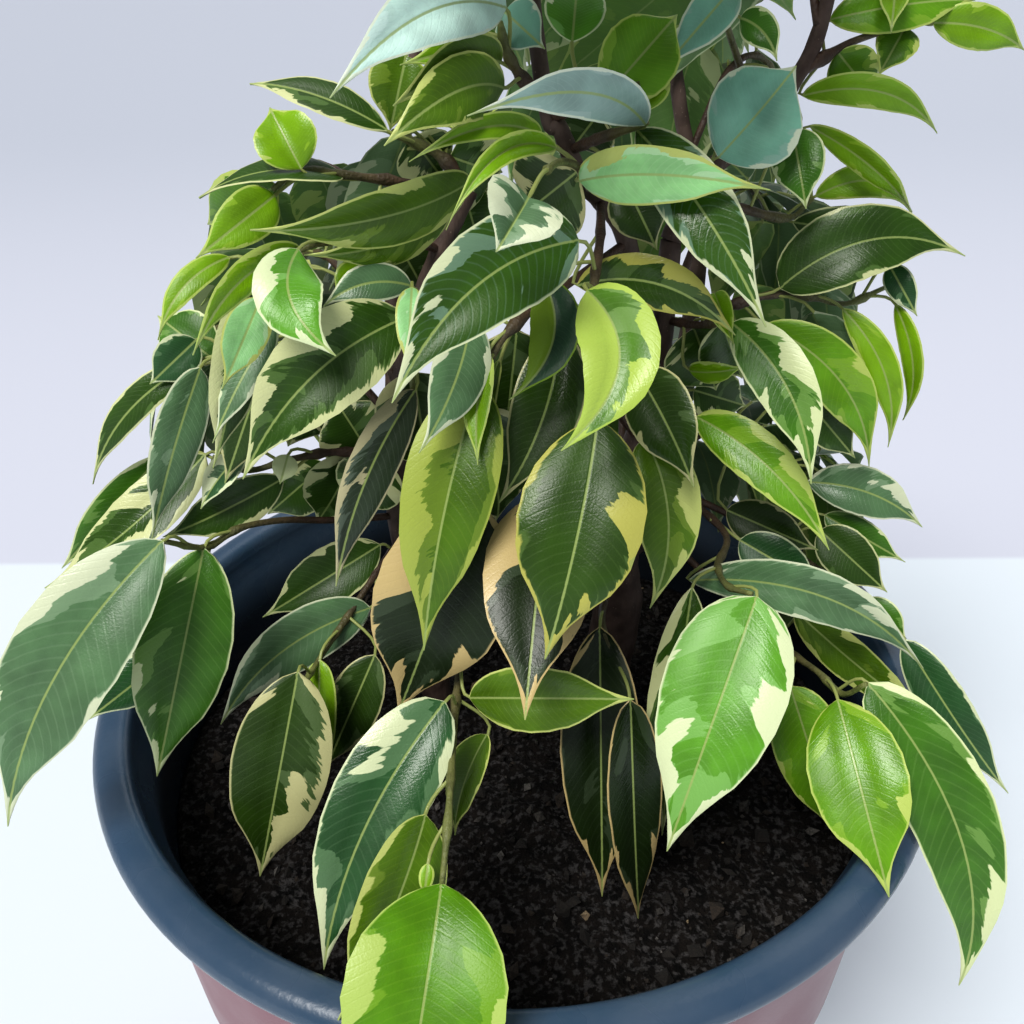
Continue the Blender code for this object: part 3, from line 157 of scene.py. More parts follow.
def smooth(points, steps):
    """A curve through the points, with `steps` pieces between neighbours (Catmull-Rom)."""
    pts = np.array(points, dtype=float)
    padded = np.vstack([2 * pts[0] - pts[1], pts, 2 * pts[-1] - pts[-2]])
    rows = []
    for index in range(len(pts) - 1):
        p0, p1, p2, p3 = padded[index:index + 4]
        for step in range(steps):
            t = step / steps
            rows.append(0.5 * (2 * p1 + (p2 - p0) * t + (2 * p0 - 5 * p1 + 4 * p2 - p3) * t ** 2
                               + (3 * p1 - p0 - 3 * p2 + p3) * t ** 3))
    rows.append(pts[-1])
    return np.array(rows)


def tangents(path):
    """Unit direction of a path at each of its points."""
    steps = np.gradient(path, axis=0)
    return steps / np.linalg.norm(steps, axis=1, keepdims=True)


def turned(vector, axis, angle):
    """The vector turned about an axis by an angle (Rodrigues' formula)."""
    return (vector * math.cos(angle) + np.cross(axis, vector) * math.sin(angle)
            + axis * np.dot(axis, vector) * (1 - math.cos(angle)))


def carried_frames(path):
    """Two directions across a path at each point, turned as little as possible from one to the next."""
    along = tangents(path)
    across = np.empty_like(along)
    across[0] = unit(np.cross(along[0], LEAN))
    for index in range(1, len(path)):
        across[index] = unit(across[index - 1] - along[index] * np.dot(across[index - 1], along[index]))
    return across, np.cross(along, across)


print("points of a smoothed bend:", len(smooth([(0, 0, 0), (1, 0, 0), (1, 1, 0)], 4)))


# %% Tubes and turned shapes
def circle_angles(sides):
    """Angles of evenly spaced points round a circle."""
    return 2 * np.pi * np.arange(sides) / sides


def ring_faces(rings, sides):
    """Faces between neighbouring closed rings, as an array of four point numbers each."""
    ring, side = np.meshgrid(np.arange(rings - 1), np.arange(sides), indexing="ij")
    after = (side + 1) % sides
    corners = [ring * sides + side, ring * sides + after, (ring + 1) * sides + after,
               (ring + 1) * sides + side]
    return np.stack(corners, axis=-1).reshape(-1, 4)


def closed_rings(rings, sides):
    """Faces of a solid made of rings: the sides, and one face over each end ring."""
    faces = ring_faces(rings, sides).tolist()
    last = (rings - 1) * sides
    faces.append(list(range(sides))[::-1])
    faces.append(list(range(last, last + sides)))
    return faces


def round_tube(path, radii, sides):
    """Points and faces of a tube: at each path point a ring, the point plus radius times cos and sin."""
    across, other = carried_frames(path)
    angles = circle_angles(sides)
    circle = (np.cos(angles)[None, :, None] * across[:, None] + np.sin(angles)[None, :, None]
              * other[:, None])
    points = path[:, None] + circle * np.asarray(radii)[:, None, None]
    return points.reshape(-1, 3), closed_rings(len(path), sides)


def turned_shape(profile, sides):
    """Points and faces of a profile of radius and height spun round Z: one pole, the rings, one pole."""
    radius, height = np.array(profile[1:-1], dtype=float).T
    angles = circle_angles(sides)
    x = radius[:, None] * np.cos(angles)
    y = radius[:, None] * np.sin(angles)
    z = np.repeat(height[:, None], sides, axis=1)
    poles = np.array([(0.0, 0.0, profile[0][1]), (0.0, 0.0, profile[-1][1])])
    points = np.vstack([np.stack([x, y, z], axis=-1).reshape(-1, 3), poles])
    here = np.arange(sides)
    after = (here + 1) % sides
    first, last = len(points) - 2, len(points) - 1
    faces = ring_faces(len(radius), sides).tolist()
    faces += np.column_stack([after, here, np.full(sides, first)]).tolist()
    top = (len(radius) - 1) * sides
    faces += np.column_stack([top + here, top + after, np.full(sides, last)]).tolist()
    return points, faces


print("faces of a plain square tube:", len(closed_rings(2, 4)))


# %% Pieces from points and faces
UNBROKEN = 180.0


def new_piece(name, points, faces, material, sharp=UNBROKEN):
    """A smooth-shaded mesh object in metres with one material, riding on the plant's only body."""
    mesh = bpy.data.meshes.new(name)
    mesh.from_pydata((np.asarray(points) * MM).tolist(), [], faces)
    mesh.materials.append(material)
    mesh.shade_smooth()
    if sharp < UNBROKEN:
        mesh.set_sharp_from_angle(angle=math.radians(sharp))
    piece = bpy.data.objects.new(name, mesh)
    bpy.context.scene.collection.objects.link(piece)
    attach(piece, "root")
    return piece


def give(mesh, name, values, domain="FACE"):
    """Store an array on a mesh's faces or points: one number each, or three."""
    values = np.asarray(values, dtype=np.float32)
    kind, field = ("FLOAT", "value") if values.ndim == 1 else ("FLOAT_VECTOR", "vector")
    mesh.attributes.new(name, kind, domain).data.foreach_set(field, values.ravel())


# %% [markdown]
# ## Helpers for materials
#
# A material is a small calculation that Blender repeats at every point of a surface. These helpers keep
# each step of it on one line. What several finishes share, an uneven tone at a chosen scale, is a node
# group with named sockets, so that each material sets only its own scale and contrast. A painted image
# could do the same, but it would need its own unwrapping on every leaf.

# %% Node helpers
def node(tree, kind, inputs=None, **settings):
    """Add a node. Settings are its properties, and inputs name a socket and its value or source."""
    made = tree.nodes.new(kind)
    for name, value in settings.items():
        setattr(made, name, value)
    for key, value in (inputs or {}).items():
        if isinstance(value, bpy.types.NodeSocket):
            tree.links.new(value, made.inputs[key])
        else:
            made.inputs[key].default_value = value
    return made


def calc(tree, operation, *values, clamp=False):
    """One step of arithmetic on numbers or sockets."""
    made = node(tree, "ShaderNodeMath", dict(enumerate(values)), operation=operation, use_clamp=clamp)
    return made.outputs[0]


def mix(tree, share, low, high, how="MIX"):
    """Two colours mixed by a share."""
    made = node(tree, "ShaderNodeMix", {0: share, 6: low, 7: high}, data_type="RGBA", blend_type=how)
    return made.outputs[2]


def ramp(tree, value, low, high, to_low=0.0, to_high=1.0):
    """A value between low and high stretched smoothly onto another range."""
    made = node(tree, "ShaderNodeMapRange", {0: value, 1: low, 2: high, 3: to_low, 4: to_high},
                interpolation_type="SMOOTHSTEP")
    return made.outputs[0]


def noise(tree, vector, scale, detail):
    """Fractal noise at a vector, mostly between 0.3 and 0.7."""
    made = node(tree, "ShaderNodeTexNoise", {"Vector": vector, "Scale": scale, "Detail": detail})
    return made.outputs["Fac"]


def split(tree, vector):
    """The three parts of a vector."""
    return node(tree, "ShaderNodeSeparateXYZ", {0: vector}).outputs


def object_place(tree):
    """Where a point of a surface lies, in metres from its object's origin."""
    return node(tree, "ShaderNodeTexCoord").outputs["Object"]


def colour(red, green, blue):
    """A colour with full alpha."""
    return (red, green, blue, 1.0)


def new_group(name, inputs, outputs):
    """An empty node group, and its inputs as they are read inside. Place is a vector, the rest numbers."""
    tree = bpy.data.node_groups.new(name, "ShaderNodeTree")
    for way, labels in (("INPUT", inputs), ("OUTPUT", outputs)):
        for label in labels:
            kind = "NodeSocketVector" if label == "Place" else "NodeSocketFloat"
            tree.interface.new_socket(label, in_out=way, socket_type=kind)
    return tree, node(tree, "NodeGroupInput").outputs


# %% The shared mottle group
NOISE_RANGE = (0.3, 0.7)


def mottle_group():
    """Uneven tone: noise on object coordinates, stretched from low to high."""
    tree, entry = new_group("mottle", ("Scale", "Detail", "Low", "High"), ("Tone",))
    uneven = noise(tree, object_place(tree), entry["Scale"], entry["Detail"])
    node(tree, "NodeGroupOutput", {"Tone": ramp(tree, uneven, *NOISE_RANGE, entry["Low"], entry["High"])})
    return tree


MOTTLE = mottle_group()


def mottle(tree, scale, low=0.0, high=1.0, detail=3.0):
    """The shared group placed in a material with its own values."""
    return node(tree, "ShaderNodeGroup", {"Scale": scale, "Detail": detail, "Low": low, "High": high},
                node_tree=MOTTLE).outputs["Tone"]


def finish(name, roughness):
    """A new material: its node tree and its one Principled shader."""
    material = bpy.data.materials.new(name)
    material.use_nodes = True
    shader = material.node_tree.nodes["Principled BSDF"]
    shader.inputs["Roughness"].default_value = roughness
    return material, material.node_tree, shader


def attribute(tree, name, output="Vector"):
    """An array stored on the mesh, read by name."""
    return node(tree, "ShaderNodeAttribute", attribute_name=name).outputs[output]


def bumped(tree, shader, height, strength, distance):
    """Small relief that the mesh is too coarse for."""
    made = node(tree, "ShaderNodeBump", {"Strength": strength, "Distance": distance, "Height": height})
    tree.links.new(made.outputs[0], shader.inputs["Normal"])


print("nodes in the mottle group:", len(MOTTLE.nodes))

# %% [markdown]
# ## The two pots
#
# A thin dusty-pink cachepot holds a slate-blue liner, whose rolled rim hooks over its edge. Both are
# turned shapes. The CAD solids have few sides, so each is replaced by the same profile with many more, and
# the rolled rim is a smooth curve through the CAD's corners. Moulded plastic is even in colour. What makes
# it look real is a faint unevenness of its gloss, fine dust and the light that the round rim catches.
# Painted shade makes the liner's inside nearly black towards the soil.

# %% Sizes of the pots
RIM_RADIUS = 110.0
POT_TOP_RADIUS = 103.4
POT_BASE_RADIUS = 80.0
WALL_HEIGHTS = np.array([4.0, 50.0, 110.0, RIM_TOP - 6.0])
POT_WALL = 1.6
POT_FLOOR = 3.2
LINER_WALL = 1.4
LINER_FLOOR = 2.0
LINER_PLAY = 0.5
LEDGE_DROP = 10.0
LEDGE_STEP = 1.8
FIT_GAP = 0.3
POT_SIDES = 144
SHARP_EDGE = 40


def wall_radius(height):
    """Outer radius of the pot, straight between turns and drawn in more and more to the base."""
    share = (WALL_HEIGHTS / RIM_TOP) ** 0.9
    radii = POT_BASE_RADIUS + (POT_TOP_RADIUS - POT_BASE_RADIUS) * np.sin(np.pi / 2 * share)
    return float(np.interp(height, WALL_HEIGHTS, radii))


def liner_inside(height):
    """Inner radius of the liner below its ledge."""
    return wall_radius(height) - POT_WALL - LINER_PLAY - LEDGE_STEP - LINER_WALL


print("pot radius near its foot and rim:", round(wall_radius(0.0), 1), round(wall_radius(RIM_TOP), 1))

# %% Plastic finishes
SLATE_BLUE = (0.031, 0.067, 0.120)
DUSTY_PINK = (0.25, 0.115, 0.140)
# Painted shade for the liner's inside: nearly black below a height, fading in over 20 mm
INSIDE_PAINTED_SHADE = colour(0.004, 0.005, 0.007)
SHADE_FADES = 20.0 * MM
LEAST_SHADE, MOST_SHADE = 0.0, 0.92


def plastic(name, tint, roughness, dust, shaded_below=0.0):
    """Moulded plastic: an even tint, gloss that varies a little, pale dust, and painted shade on a low
    inside.
    """
    material, tree, shader = finish(name, roughness)
    dusty = mottle(tree, 60.0, 0.0, dust, 6.0)
    pale = tuple(0.5 * value + 0.30 for value in tint)
    surface = mix(tree, dusty, colour(*tint), colour(*pale))
    # Painted shade: below the given height the colour fades to nearly black
    if shaded_below:
        height = split(tree, object_place(tree))[2]
        shade_share = ramp(tree, height, shaded_below, shaded_below - SHADE_FADES, LEAST_SHADE, MOST_SHADE)
        surface = mix(tree, shade_share, surface, INSIDE_PAINTED_SHADE)
    tree.links.new(surface, shader.inputs["Base Color"])
    tree.links.new(mottle(tree, 35.0, roughness - 0.06, roughness + 0.08), shader.inputs["Roughness"])
    bumped(tree, shader, mottle(tree, 900.0, 0.0, 1.0, 2.0), 0.06, 0.0004)
    return material


# The liner gets painted shade below 5 mm under its rim, which shows on its inside
slate = plastic("slate_plastic", SLATE_BLUE, 0.27, 0.07, (RIM_TOP - 5.0) * MM)
pink = plastic("pink_plastic", DUSTY_PINK, 0.45, 0.08)
print("plastics:", slate.name, pink.name)


# %% Pot and liner surfaces
def pot_profile():
    """The cachepot from the middle of its underside, up outside, over the edge and down inside."""
    top = RIM_TOP - 4.2
    heights = np.linspace(WALL_HEIGHTS[0], WALL_HEIGHTS[-1], 24)
    profile = [(0.0, 0.0), (POT_BASE_RADIUS - 4.0, 0.0), (POT_BASE_RADIUS - 1.0, 1.2)]
    profile += [(wall_radius(z), z) for z in heights]
    profile += [(POT_TOP_RADIUS, top), (POT_TOP_RADIUS - POT_WALL, top)]
    profile += [(wall_radius(z) - POT_WALL, z) for z in heights[::-1]]
    return profile + [(POT_BASE_RADIUS - 3.0, POT_FLOOR), (0.0, POT_FLOOR)]


def liner_profile():
    """The liner from the middle of its floor, up inside, round the rolled rim and down outside."""
    floor = POT_FLOOR + FIT_GAP
    ledge = RIM_TOP - LEDGE_DROP
    wall = np.array([14.0, *WALL_HEIGHTS[1:3], ledge - 1.5])
    hook = POT_TOP_RADIUS - POT_WALL - LINER_PLAY
    profile = [(0.0, floor + LINER_FLOOR), (liner_inside(8.0) - 3.0, floor + LINER_FLOOR)]
    profile += [(liner_inside(z), z) for z in wall]
    step = [(hook - LINER_WALL, ledge + 1.2), (hook - LINER_WALL + 0.1, RIM_TOP - 4.4)]
    roll = [(100.9, RIM_TOP - 1.4), (102.8, RIM_TOP), (106.8, RIM_TOP - 0.2), (109.3, RIM_TOP - 1.9),
            (RIM_RADIUS, RIM_TOP - 4.4), (108.8, RIM_TOP - 7.7)]
    profile += step[:1] + smooth([(*point, 0.0) for point in step[1:] + roll], 5)[:, :2].tolist()
    profile += [(107.3, RIM_TOP - 7.3), (106.8, RIM_TOP - 3.2), (102.4, RIM_TOP - 3.0),
                (hook, RIM_TOP - 4.8), (hook, ledge + 0.6)]
    profile += [(liner_inside(z) + LINER_WALL, z) for z in (wall - 0.6)[::-1]]
    return profile + [(liner_inside(8.0) - 2.0, floor), (0.0, floor)]


pot = new_piece("pot_wall", *turned_shape(pot_profile(), POT_SIDES), pink, sharp=SHARP_EDGE)
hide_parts("pot")
liner = new_piece("liner_wall", *turned_shape(liner_profile()[::-1], POT_SIDES), slate, sharp=SHARP_EDGE)
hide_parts("liner")
print("pot faces:", len(pot.data.polygons), "liner faces:", len(liner.data.polygons))

# %% [markdown]
# ## The peat
#
# Potting peat is nearly black when moist: a mound of fine fibres with crumbs of bark, grey dust on the
# dry ones and a few pale bits. It is one turned solid whose top is lifted by noise of three sizes, with
# loose crumbs strewn over it. Real crumbs cast the small shadows that a painted texture lacks.

# %% Peat surface
SOIL_DROP = 38.0
SOIL_MOUND = 5.0
SOIL_CRUMB = 0.9
SOIL_REACH = 97.0
PEAT_SIDES = 240
PEAT_RINGS = 90
PEAT_SEED = 11
# Cells of the lattice each way, so that no pattern repeats within the pot
LATTICE = 64
peat_draw = np.random.default_rng(PEAT_SEED)


def lattice_noise(x, y, cell):
    """Smooth random heights from -1 to 1: lattice corners get random values, blended by smoothstep."""
    lattice = peat_draw.uniform(-1, 1, (LATTICE, LATTICE))
    u, v = x / cell + LATTICE / 2, y / cell + LATTICE / 2
    i, j = np.floor(u).astype(int), np.floor(v).astype(int)
    s, t = u - i, v - j
    s, t = s * s * (3 - 2 * s), t * t * (3 - 2 * t)
    i, j, i2, j2 = i % LATTICE, j % LATTICE, (i + 1) % LATTICE, (j + 1) % LATTICE
    return ((lattice[i, j] * (1 - s) + lattice[i2, j] * s) * (1 - t)
            + (lattice[i, j2] * (1 - s) + lattice[i2, j2] * s) * t)


def soil_height(x, y):
    """Height of the soil's surface: a low mound with crumbs as crossed waves."""
    radius = math.hypot(x, y) / SOIL_REACH
    crumbs = math.sin(0.19 * x + 1.3) * math.cos(0.23 * y) + 0.6 * math.sin(0.41 * y + 0.37 * x)
    mound = RIM_TOP - SOIL_DROP + SOIL_MOUND * (1 - radius ** 2)
    return mound + SOIL_CRUMB * crumbs * (1 - radius ** 4)


def peat_top(x, y):
    """The mound of the CAD solid with clods, crumbs and fibres added."""
    mound = np.vectorize(soil_height)(x, y)
    rough = (1.1 * lattice_noise(x, y, 7.0) + 0.9 * np.abs(lattice_noise(x, y, 3.1))
             + 0.45 * lattice_noise(x, y, 1.5) + 0.3 * lattice_noise(x * 0.4, y * 1.6, 1.2))
    return mound + rough


def peat_surface():
    """A turned solid whose top rings are lifted to the peat's height."""
    surface = RIM_TOP - SOIL_DROP
    floor = POT_FLOOR + 2 * FIT_GAP + LINER_FLOOR
    rings = (liner_inside(surface) - FIT_GAP) * np.linspace(0, 1, PEAT_RINGS)
    profile = [(radius, surface) for radius in rings]
    profile += [(liner_inside(z) - FIT_GAP, z) for z in (WALL_HEIGHTS[2], WALL_HEIGHTS[1], 16.0)]
    profile += [(liner_inside(8.0) - 3.6, floor), (0.0, floor)]
    points, faces = turned_shape(profile[::-1], PEAT_SIDES)
    top = points[:, 2] > surface - 0.01
    points[top, 2] = peat_top(points[top, 0], points[top, 1])
    edge = np.hypot(points[:, 0], points[:, 1]) > rings[-1] - 0.01
    points[top & edge, 2] = surface
    return points, faces


# %% Peat finish and piece
PEAT_WET = colour(0.0012, 0.0010, 0.0010)
PEAT_BROWN = colour(0.012, 0.009, 0.0075)
PEAT_DUST = colour(0.070, 0.066, 0.066)


def peat_finish():
    """Nearly black, browner on its crumbs, with grey dust where it has dried."""
    material, tree, shader = finish("peat", 0.9)
    clods = mottle(tree, 220.0, 0.0, 1.0, 8.0)
    base = mix(tree, clods, PEAT_WET, PEAT_BROWN)
    dust = calc(tree, "MAXIMUM", mottle(tree, 600.0, -0.9, 0.8, 6.0), 0.0)
    tree.links.new(mix(tree, dust, base, PEAT_DUST), shader.inputs["Base Color"])
    shader.inputs["Specular IOR Level"].default_value = 0.15
    bumped(tree, shader, mottle(tree, 900.0, 0.0, 1.0, 10.0), 0.9, 0.0012)
    return material


peat = peat_finish()
soil = new_piece("soil_top", *peat_surface(), peat)
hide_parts("soil")
print("peat faces:", len(soil.data.polygons))

# %% [markdown]
# The loose crumbs are one piece. Each is a lump of eight faces, stretched, turned and coloured by its own
# draw: most are dark bark, some are grey with dust, and a few are pale. Hundreds of them cost little, since
# a lump that is seen at a millimetre's size needs no more faces.

# %% Crumbs on the peat
CRUMBS = 1500
CRUMB_SIZES = (0.5, 2.1)
LUMP_CORNERS = np.array([(1, 0, 0), (-1, 0, 0), (0, 1, 0), (0, -1, 0), (0, 0, 1), (0, 0, -1)], dtype=float)
LUMP_FACES = np.array([(0, 2, 4), (2, 1, 4), (1, 3, 4), (3, 0, 4), (2, 0, 5), (1, 2, 5), (3, 1, 5),
                       (0, 3, 5)])
CRUMB_SHADES = np.array([(0.010, 0.007, 0.005), (0.026, 0.018, 0.012), (0.055, 0.048, 0.042),
                         (0.12, 0.11, 0.10), (0.30, 0.22, 0.13)])
CRUMB_ODDS = (0.52, 0.30, 0.12, 0.045, 0.015)


def crumb_surface():
    """Many small eight-sided lumps, each six points on its own stretched and turned axes."""
    reach = (liner_inside(RIM_TOP - SOIL_DROP) - 4.0) * np.sqrt(peat_draw.random(CRUMBS))
    angle = 2 * np.pi * peat_draw.random(CRUMBS)
    x, y = reach * np.cos(angle), reach * np.sin(angle)
    size = CRUMB_SIZES[0] + (CRUMB_SIZES[1] - CRUMB_SIZES[0]) * peat_draw.random(CRUMBS) ** 3
    height = np.vectorize(soil_height)(x, y) + 0.8 * size
    stretch = peat_draw.uniform(0.45, 1.5, (CRUMBS, 1, 3)) * size[:, None, None]
    lumps = LUMP_CORNERS * stretch * peat_draw.uniform(0.7, 1.2, (CRUMBS, len(LUMP_CORNERS), 1))
    turn, _ = np.linalg.qr(peat_draw.normal(size=(CRUMBS, 3, 3)))
    turn *= np.sign(np.linalg.det(turn))[:, None, None]
    points = np.einsum("nij,nkj->nki", turn, lumps) + np.stack([x, y, height], axis=-1)[:, None]
    faces = LUMP_FACES[None] + len(LUMP_CORNERS) * np.arange(CRUMBS)[:, None, None]
    return points.reshape(-1, 3), faces.reshape(-1, 3)


def crumb_finish():
    """Bark and peat lumps whose colour is stored on the mesh, dulled by noise."""
    material, tree, shader = finish("crumbs", 0.85)
    tint = attribute(tree, "tint", "Color")
    dull = mottle(tree, 1500.0, 0.5, 1.2, 4.0)
    tree.links.new(mix(tree, 1.0, tint, dull, "MULTIPLY"), shader.inputs["Base Color"])
    bumped(tree, shader, mottle(tree, 2500.0, 0.0, 1.0, 4.0), 0.6, 0.0006)
    return material


def crumb_tints():
    """A colour for each lump: dark bark for most, dusty grey for some and beige for a few."""
    chosen = peat_draw.choice(len(CRUMB_SHADES), CRUMBS, p=CRUMB_ODDS)
    return np.repeat(CRUMB_SHADES[chosen], len(LUMP_FACES), axis=0)


points, faces = crumb_surface()
crumbs = new_piece("soil_crumbs", points, faces.tolist(), crumb_finish(), sharp=30)
give(crumbs.data, "tint", crumb_tints())
print("crumbs:", CRUMBS)

# %% [markdown]
# ## The woody stems
#
# Two stems stand in the peat and fork into slim limbs. Young fig bark is smooth and pinkish brown with
# fine cracks and small pale pores. Each limb is a tube along a smooth path through the CAD's points, and
# slight swellings keep it from looking like a pipe.

# %% Where the limbs run
HOLE_DEPTH = 62.0
CROWN_RISE = 205.0
Wood = namedtuple("Wood", "path radii")


def stem(*points):
    """Points of a stem, each given as photo point across, photo point down and depth."""
    return [seen(u, v, depth) for u, v, depth in points]


def upright(x, y, low, high):
    """Two points of a stem that stands straight in the soil."""
    return [np.array([x, y, low]), np.array([x, y, high])]


def branch(points, radii, steps=1):
    """A limb's points and radii: the CAD's own coarse path, which the fine tube passes through."""
    path = smooth(points, steps)
    places = np.linspace(0, 1, len(radii))
    return Wood(path, np.interp(np.linspace(0, 1, len(path)), places, radii))


def woody_frame():
    """The limbs of both woody stems: first limb of each list stands in the soil."""
    soil = RIM_TOP - SOIL_DROP + SOIL_MOUND
    foot = soil - HOLE_DEPTH
    crown = RIM_TOP + CROWN_RISE
    right = [
        branch(upright(25, 4, foot, soil + 1) + stem((618, 600, 6), (616, 545, 6), (640, 440, 10),
               (660, 345, 13), (671, 240, 15)), (7.0, 7.2, 6.6, 5.8, 4.2, 3.0, 2.5), steps=2),
        branch(stem((671, 240, 15), (690, 190, 17), (724, 157, 21), (760, 121, 25), (790, 88, 29),
               (825, 10, 35)) + [np.array([74, 38, crown - 8])], (2.5, 2.3, 2.2, 2.0, 1.9, 1.7, 1.4)),
        branch(stem((655, 372, 12), (627, 242, 6), (601, 201, 3), (579, 176, 1), (561, 131, 1),
               (545, 100, 3)) + [np.array([4, 8, crown - 22]), np.array([8, 12, crown + 8])],
               (2.6, 2.2, 2.1, 2.0, 1.9, 1.8, 1.6, 1.3)),
        branch(stem((616, 560, 6), (650, 510, 26)) + [np.array([52, 54, RIM_TOP + 92]),
               np.array([46, 66, RIM_TOP + 128]), np.array([40, 72, RIM_TOP + 160])],
               (3.2, 2.8, 2.4, 2.0, 1.5)),
    ]
    left = [
        branch(upright(-22, 10, foot + 8, soil + 1) + stem((402, 520, 8), (399, 443, 5),
               (404, 372, 2), (417, 318, 2), (440, 250, 4), (470, 190, 8)),
               (4.2, 4.4, 3.8, 3.2, 2.8, 2.5, 2.2, 1.9), steps=2),
        branch(stem((399, 460, 5)) + [np.array([-30, 34, RIM_TOP + 76]),
               np.array([-28, 52, RIM_TOP + 108]), np.array([-20, 60, RIM_TOP + 150])],
               (2.6, 2.3, 2.0, 1.5)),
    ]
    return right, left


stems = woody_frame()
print("limbs of the right and the left stem:", [len(limbs) for limbs in stems])

# %% Bark and the woody pieces
WOODS = ("trunk", "stem_left")
BARK_ROUND = 16
BARK_SHARE = 0.97
BARK_BROWN = colour(0.040, 0.020, 0.014)
BARK_PINKISH = colour(0.105, 0.066, 0.052)
BARK_PORE = colour(0.34, 0.27, 0.20)
MOST_PORE = 0.35


def limb_surface(wood):
    """A finer tube along the path, of the limb's radius times 1 + 0.035 sin(41 s + 0.9) + 0.03 sin(97 s)."""
    path = smooth(wood.path, 8 if len(wood.path) < 9 else 5)
    place = np.linspace(0, 1, len(path))
    radii = np.interp(place, np.linspace(0, 1, len(wood.radii)), wood.radii)
    swell = 1 + 0.035 * np.sin(41 * place + 0.9) + 0.03 * np.sin(97 * place)
    return round_tube(path, radii * swell * BARK_SHARE, BARK_ROUND)


def joined(shapes):
    """Several shapes as one list of points and one of faces."""
    points = np.vstack([shape[0] for shape in shapes])
    starts = np.cumsum([0] + [len(shape[0]) for shape in shapes[:-1]])
    faces = [[corner + int(start) for corner in face] for shape, start in zip(shapes, starts)
             for face in shape[1]]
    return points, faces


def bark_finish():
    """Smooth young bark: two browns in patches, fine lengthwise cracks and pale pores."""
    material, tree, shader = finish("bark", 0.68)
    base = mix(tree, mottle(tree, 160.0, 0.0, 1.0, 5.0), BARK_BROWN, BARK_PINKISH)
    place = object_place(tree)
    spots = node(tree, "ShaderNodeTexVoronoi", {"Vector": place, "Scale": 700.0}).outputs["Distance"]
    pore = ramp(tree, spots, 0.05, 0.16, MOST_PORE, 0.0)
    tree.links.new(mix(tree, pore, base, BARK_PORE), shader.inputs["Base Color"])
    stretched = node(tree, "ShaderNodeMapping", {"Vector": place, "Scale": (900.0, 900.0, 160.0)})
    bumped(tree, shader, noise(tree, stretched.outputs[0], 1.0, 6.0), 0.5, 0.0008)
    return material


bark = bark_finish()
for name, limbs in zip(WOODS, stems):
    piece = new_piece(name + "_bark", *joined([limb_surface(limb) for limb in limbs]), bark)
    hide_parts(name)
    print(piece.name, "limbs:", len(limbs), "faces:", len(piece.data.polygons))

# %% [markdown]
# ## Where every leaf hangs
#
# The CAD solids hold each leaf as a thin faceted lens. A finer skin must lie in the same place, so the
# same table and the same rules settle the leaves again, against the same pots, peat and stems. Each row
# of the table is one leaf as the photograph shows it: where its blade starts and ends, its width, its
# tone, and how much cream its left and right halves have. The rest of the crown follows a seeded rule.

# %% Sizes of twigs and leaves
SEED = 7
TWIG_SIDES = 4
TWIG_START = 1.25
TWIG_END = 0.9
TWIG_GAP = 0.3
TRIM_STEPS = 60
BLADE_THICKNESS = 1.0
PETIOLE_RADIUS = 0.45
PETIOLE_LENGTH = 9.0
LEAF_CLEARANCE = 0.4
# A coarse blade's stations: place from base to tip, and share of its half width
BROAD_OUTLINE = ((0.0, 0.08), (0.18, 0.80), (0.46, 0.98), (0.78, 0.44))
SLIM_OUTLINE = ((0.0, 0.10), (0.3, 0.96), (0.7, 0.60))
BROAD_FROM = 17.5
BEHIND_FROM = 5.0
# The crown's outline in photo points: a height, its left edge and its right edge
CROWN_OUTLINE = np.array([(-400, 330, 1000), (-120, 400, 1020), (-20, 430, 1000), (10, 430, 850),
                          (90, 400, 800), (150, 385, 815), (175, 270, 825), (200, 215, 830),
                          (255, 195, 860), (330, 180, 880), (400, 150, 890), (450, 130, 870),
                          (500, 110, 870), (560, 90, 880), (620, 60, 900), (700, 80, 950),
                          (800, 150, 900), (880, 230, 860), (940, 300, 800), (1100, 320, 700)],
                         dtype=float)
# Where the wall shows through the crown: photo point across, photo point down and radius
SEE_THROUGH = np.array([(600, 225, 20), (634, 222, 12), (755, 162, 16), (788, 45, 26), (726, 40, 18),
                        (870, 290, 16), (702, 400, 16), (325, 478, 16)], dtype=float)

Leaf = namedtuple("Leaf", "share root base tip facing wide fold arch bend look")
Spray = namedtuple("Spray", "name stem leaves fill")
print("a twig is", 2 * TWIG_START, "mm thick where it starts and", 2 * TWIG_END, "mm at its tip")
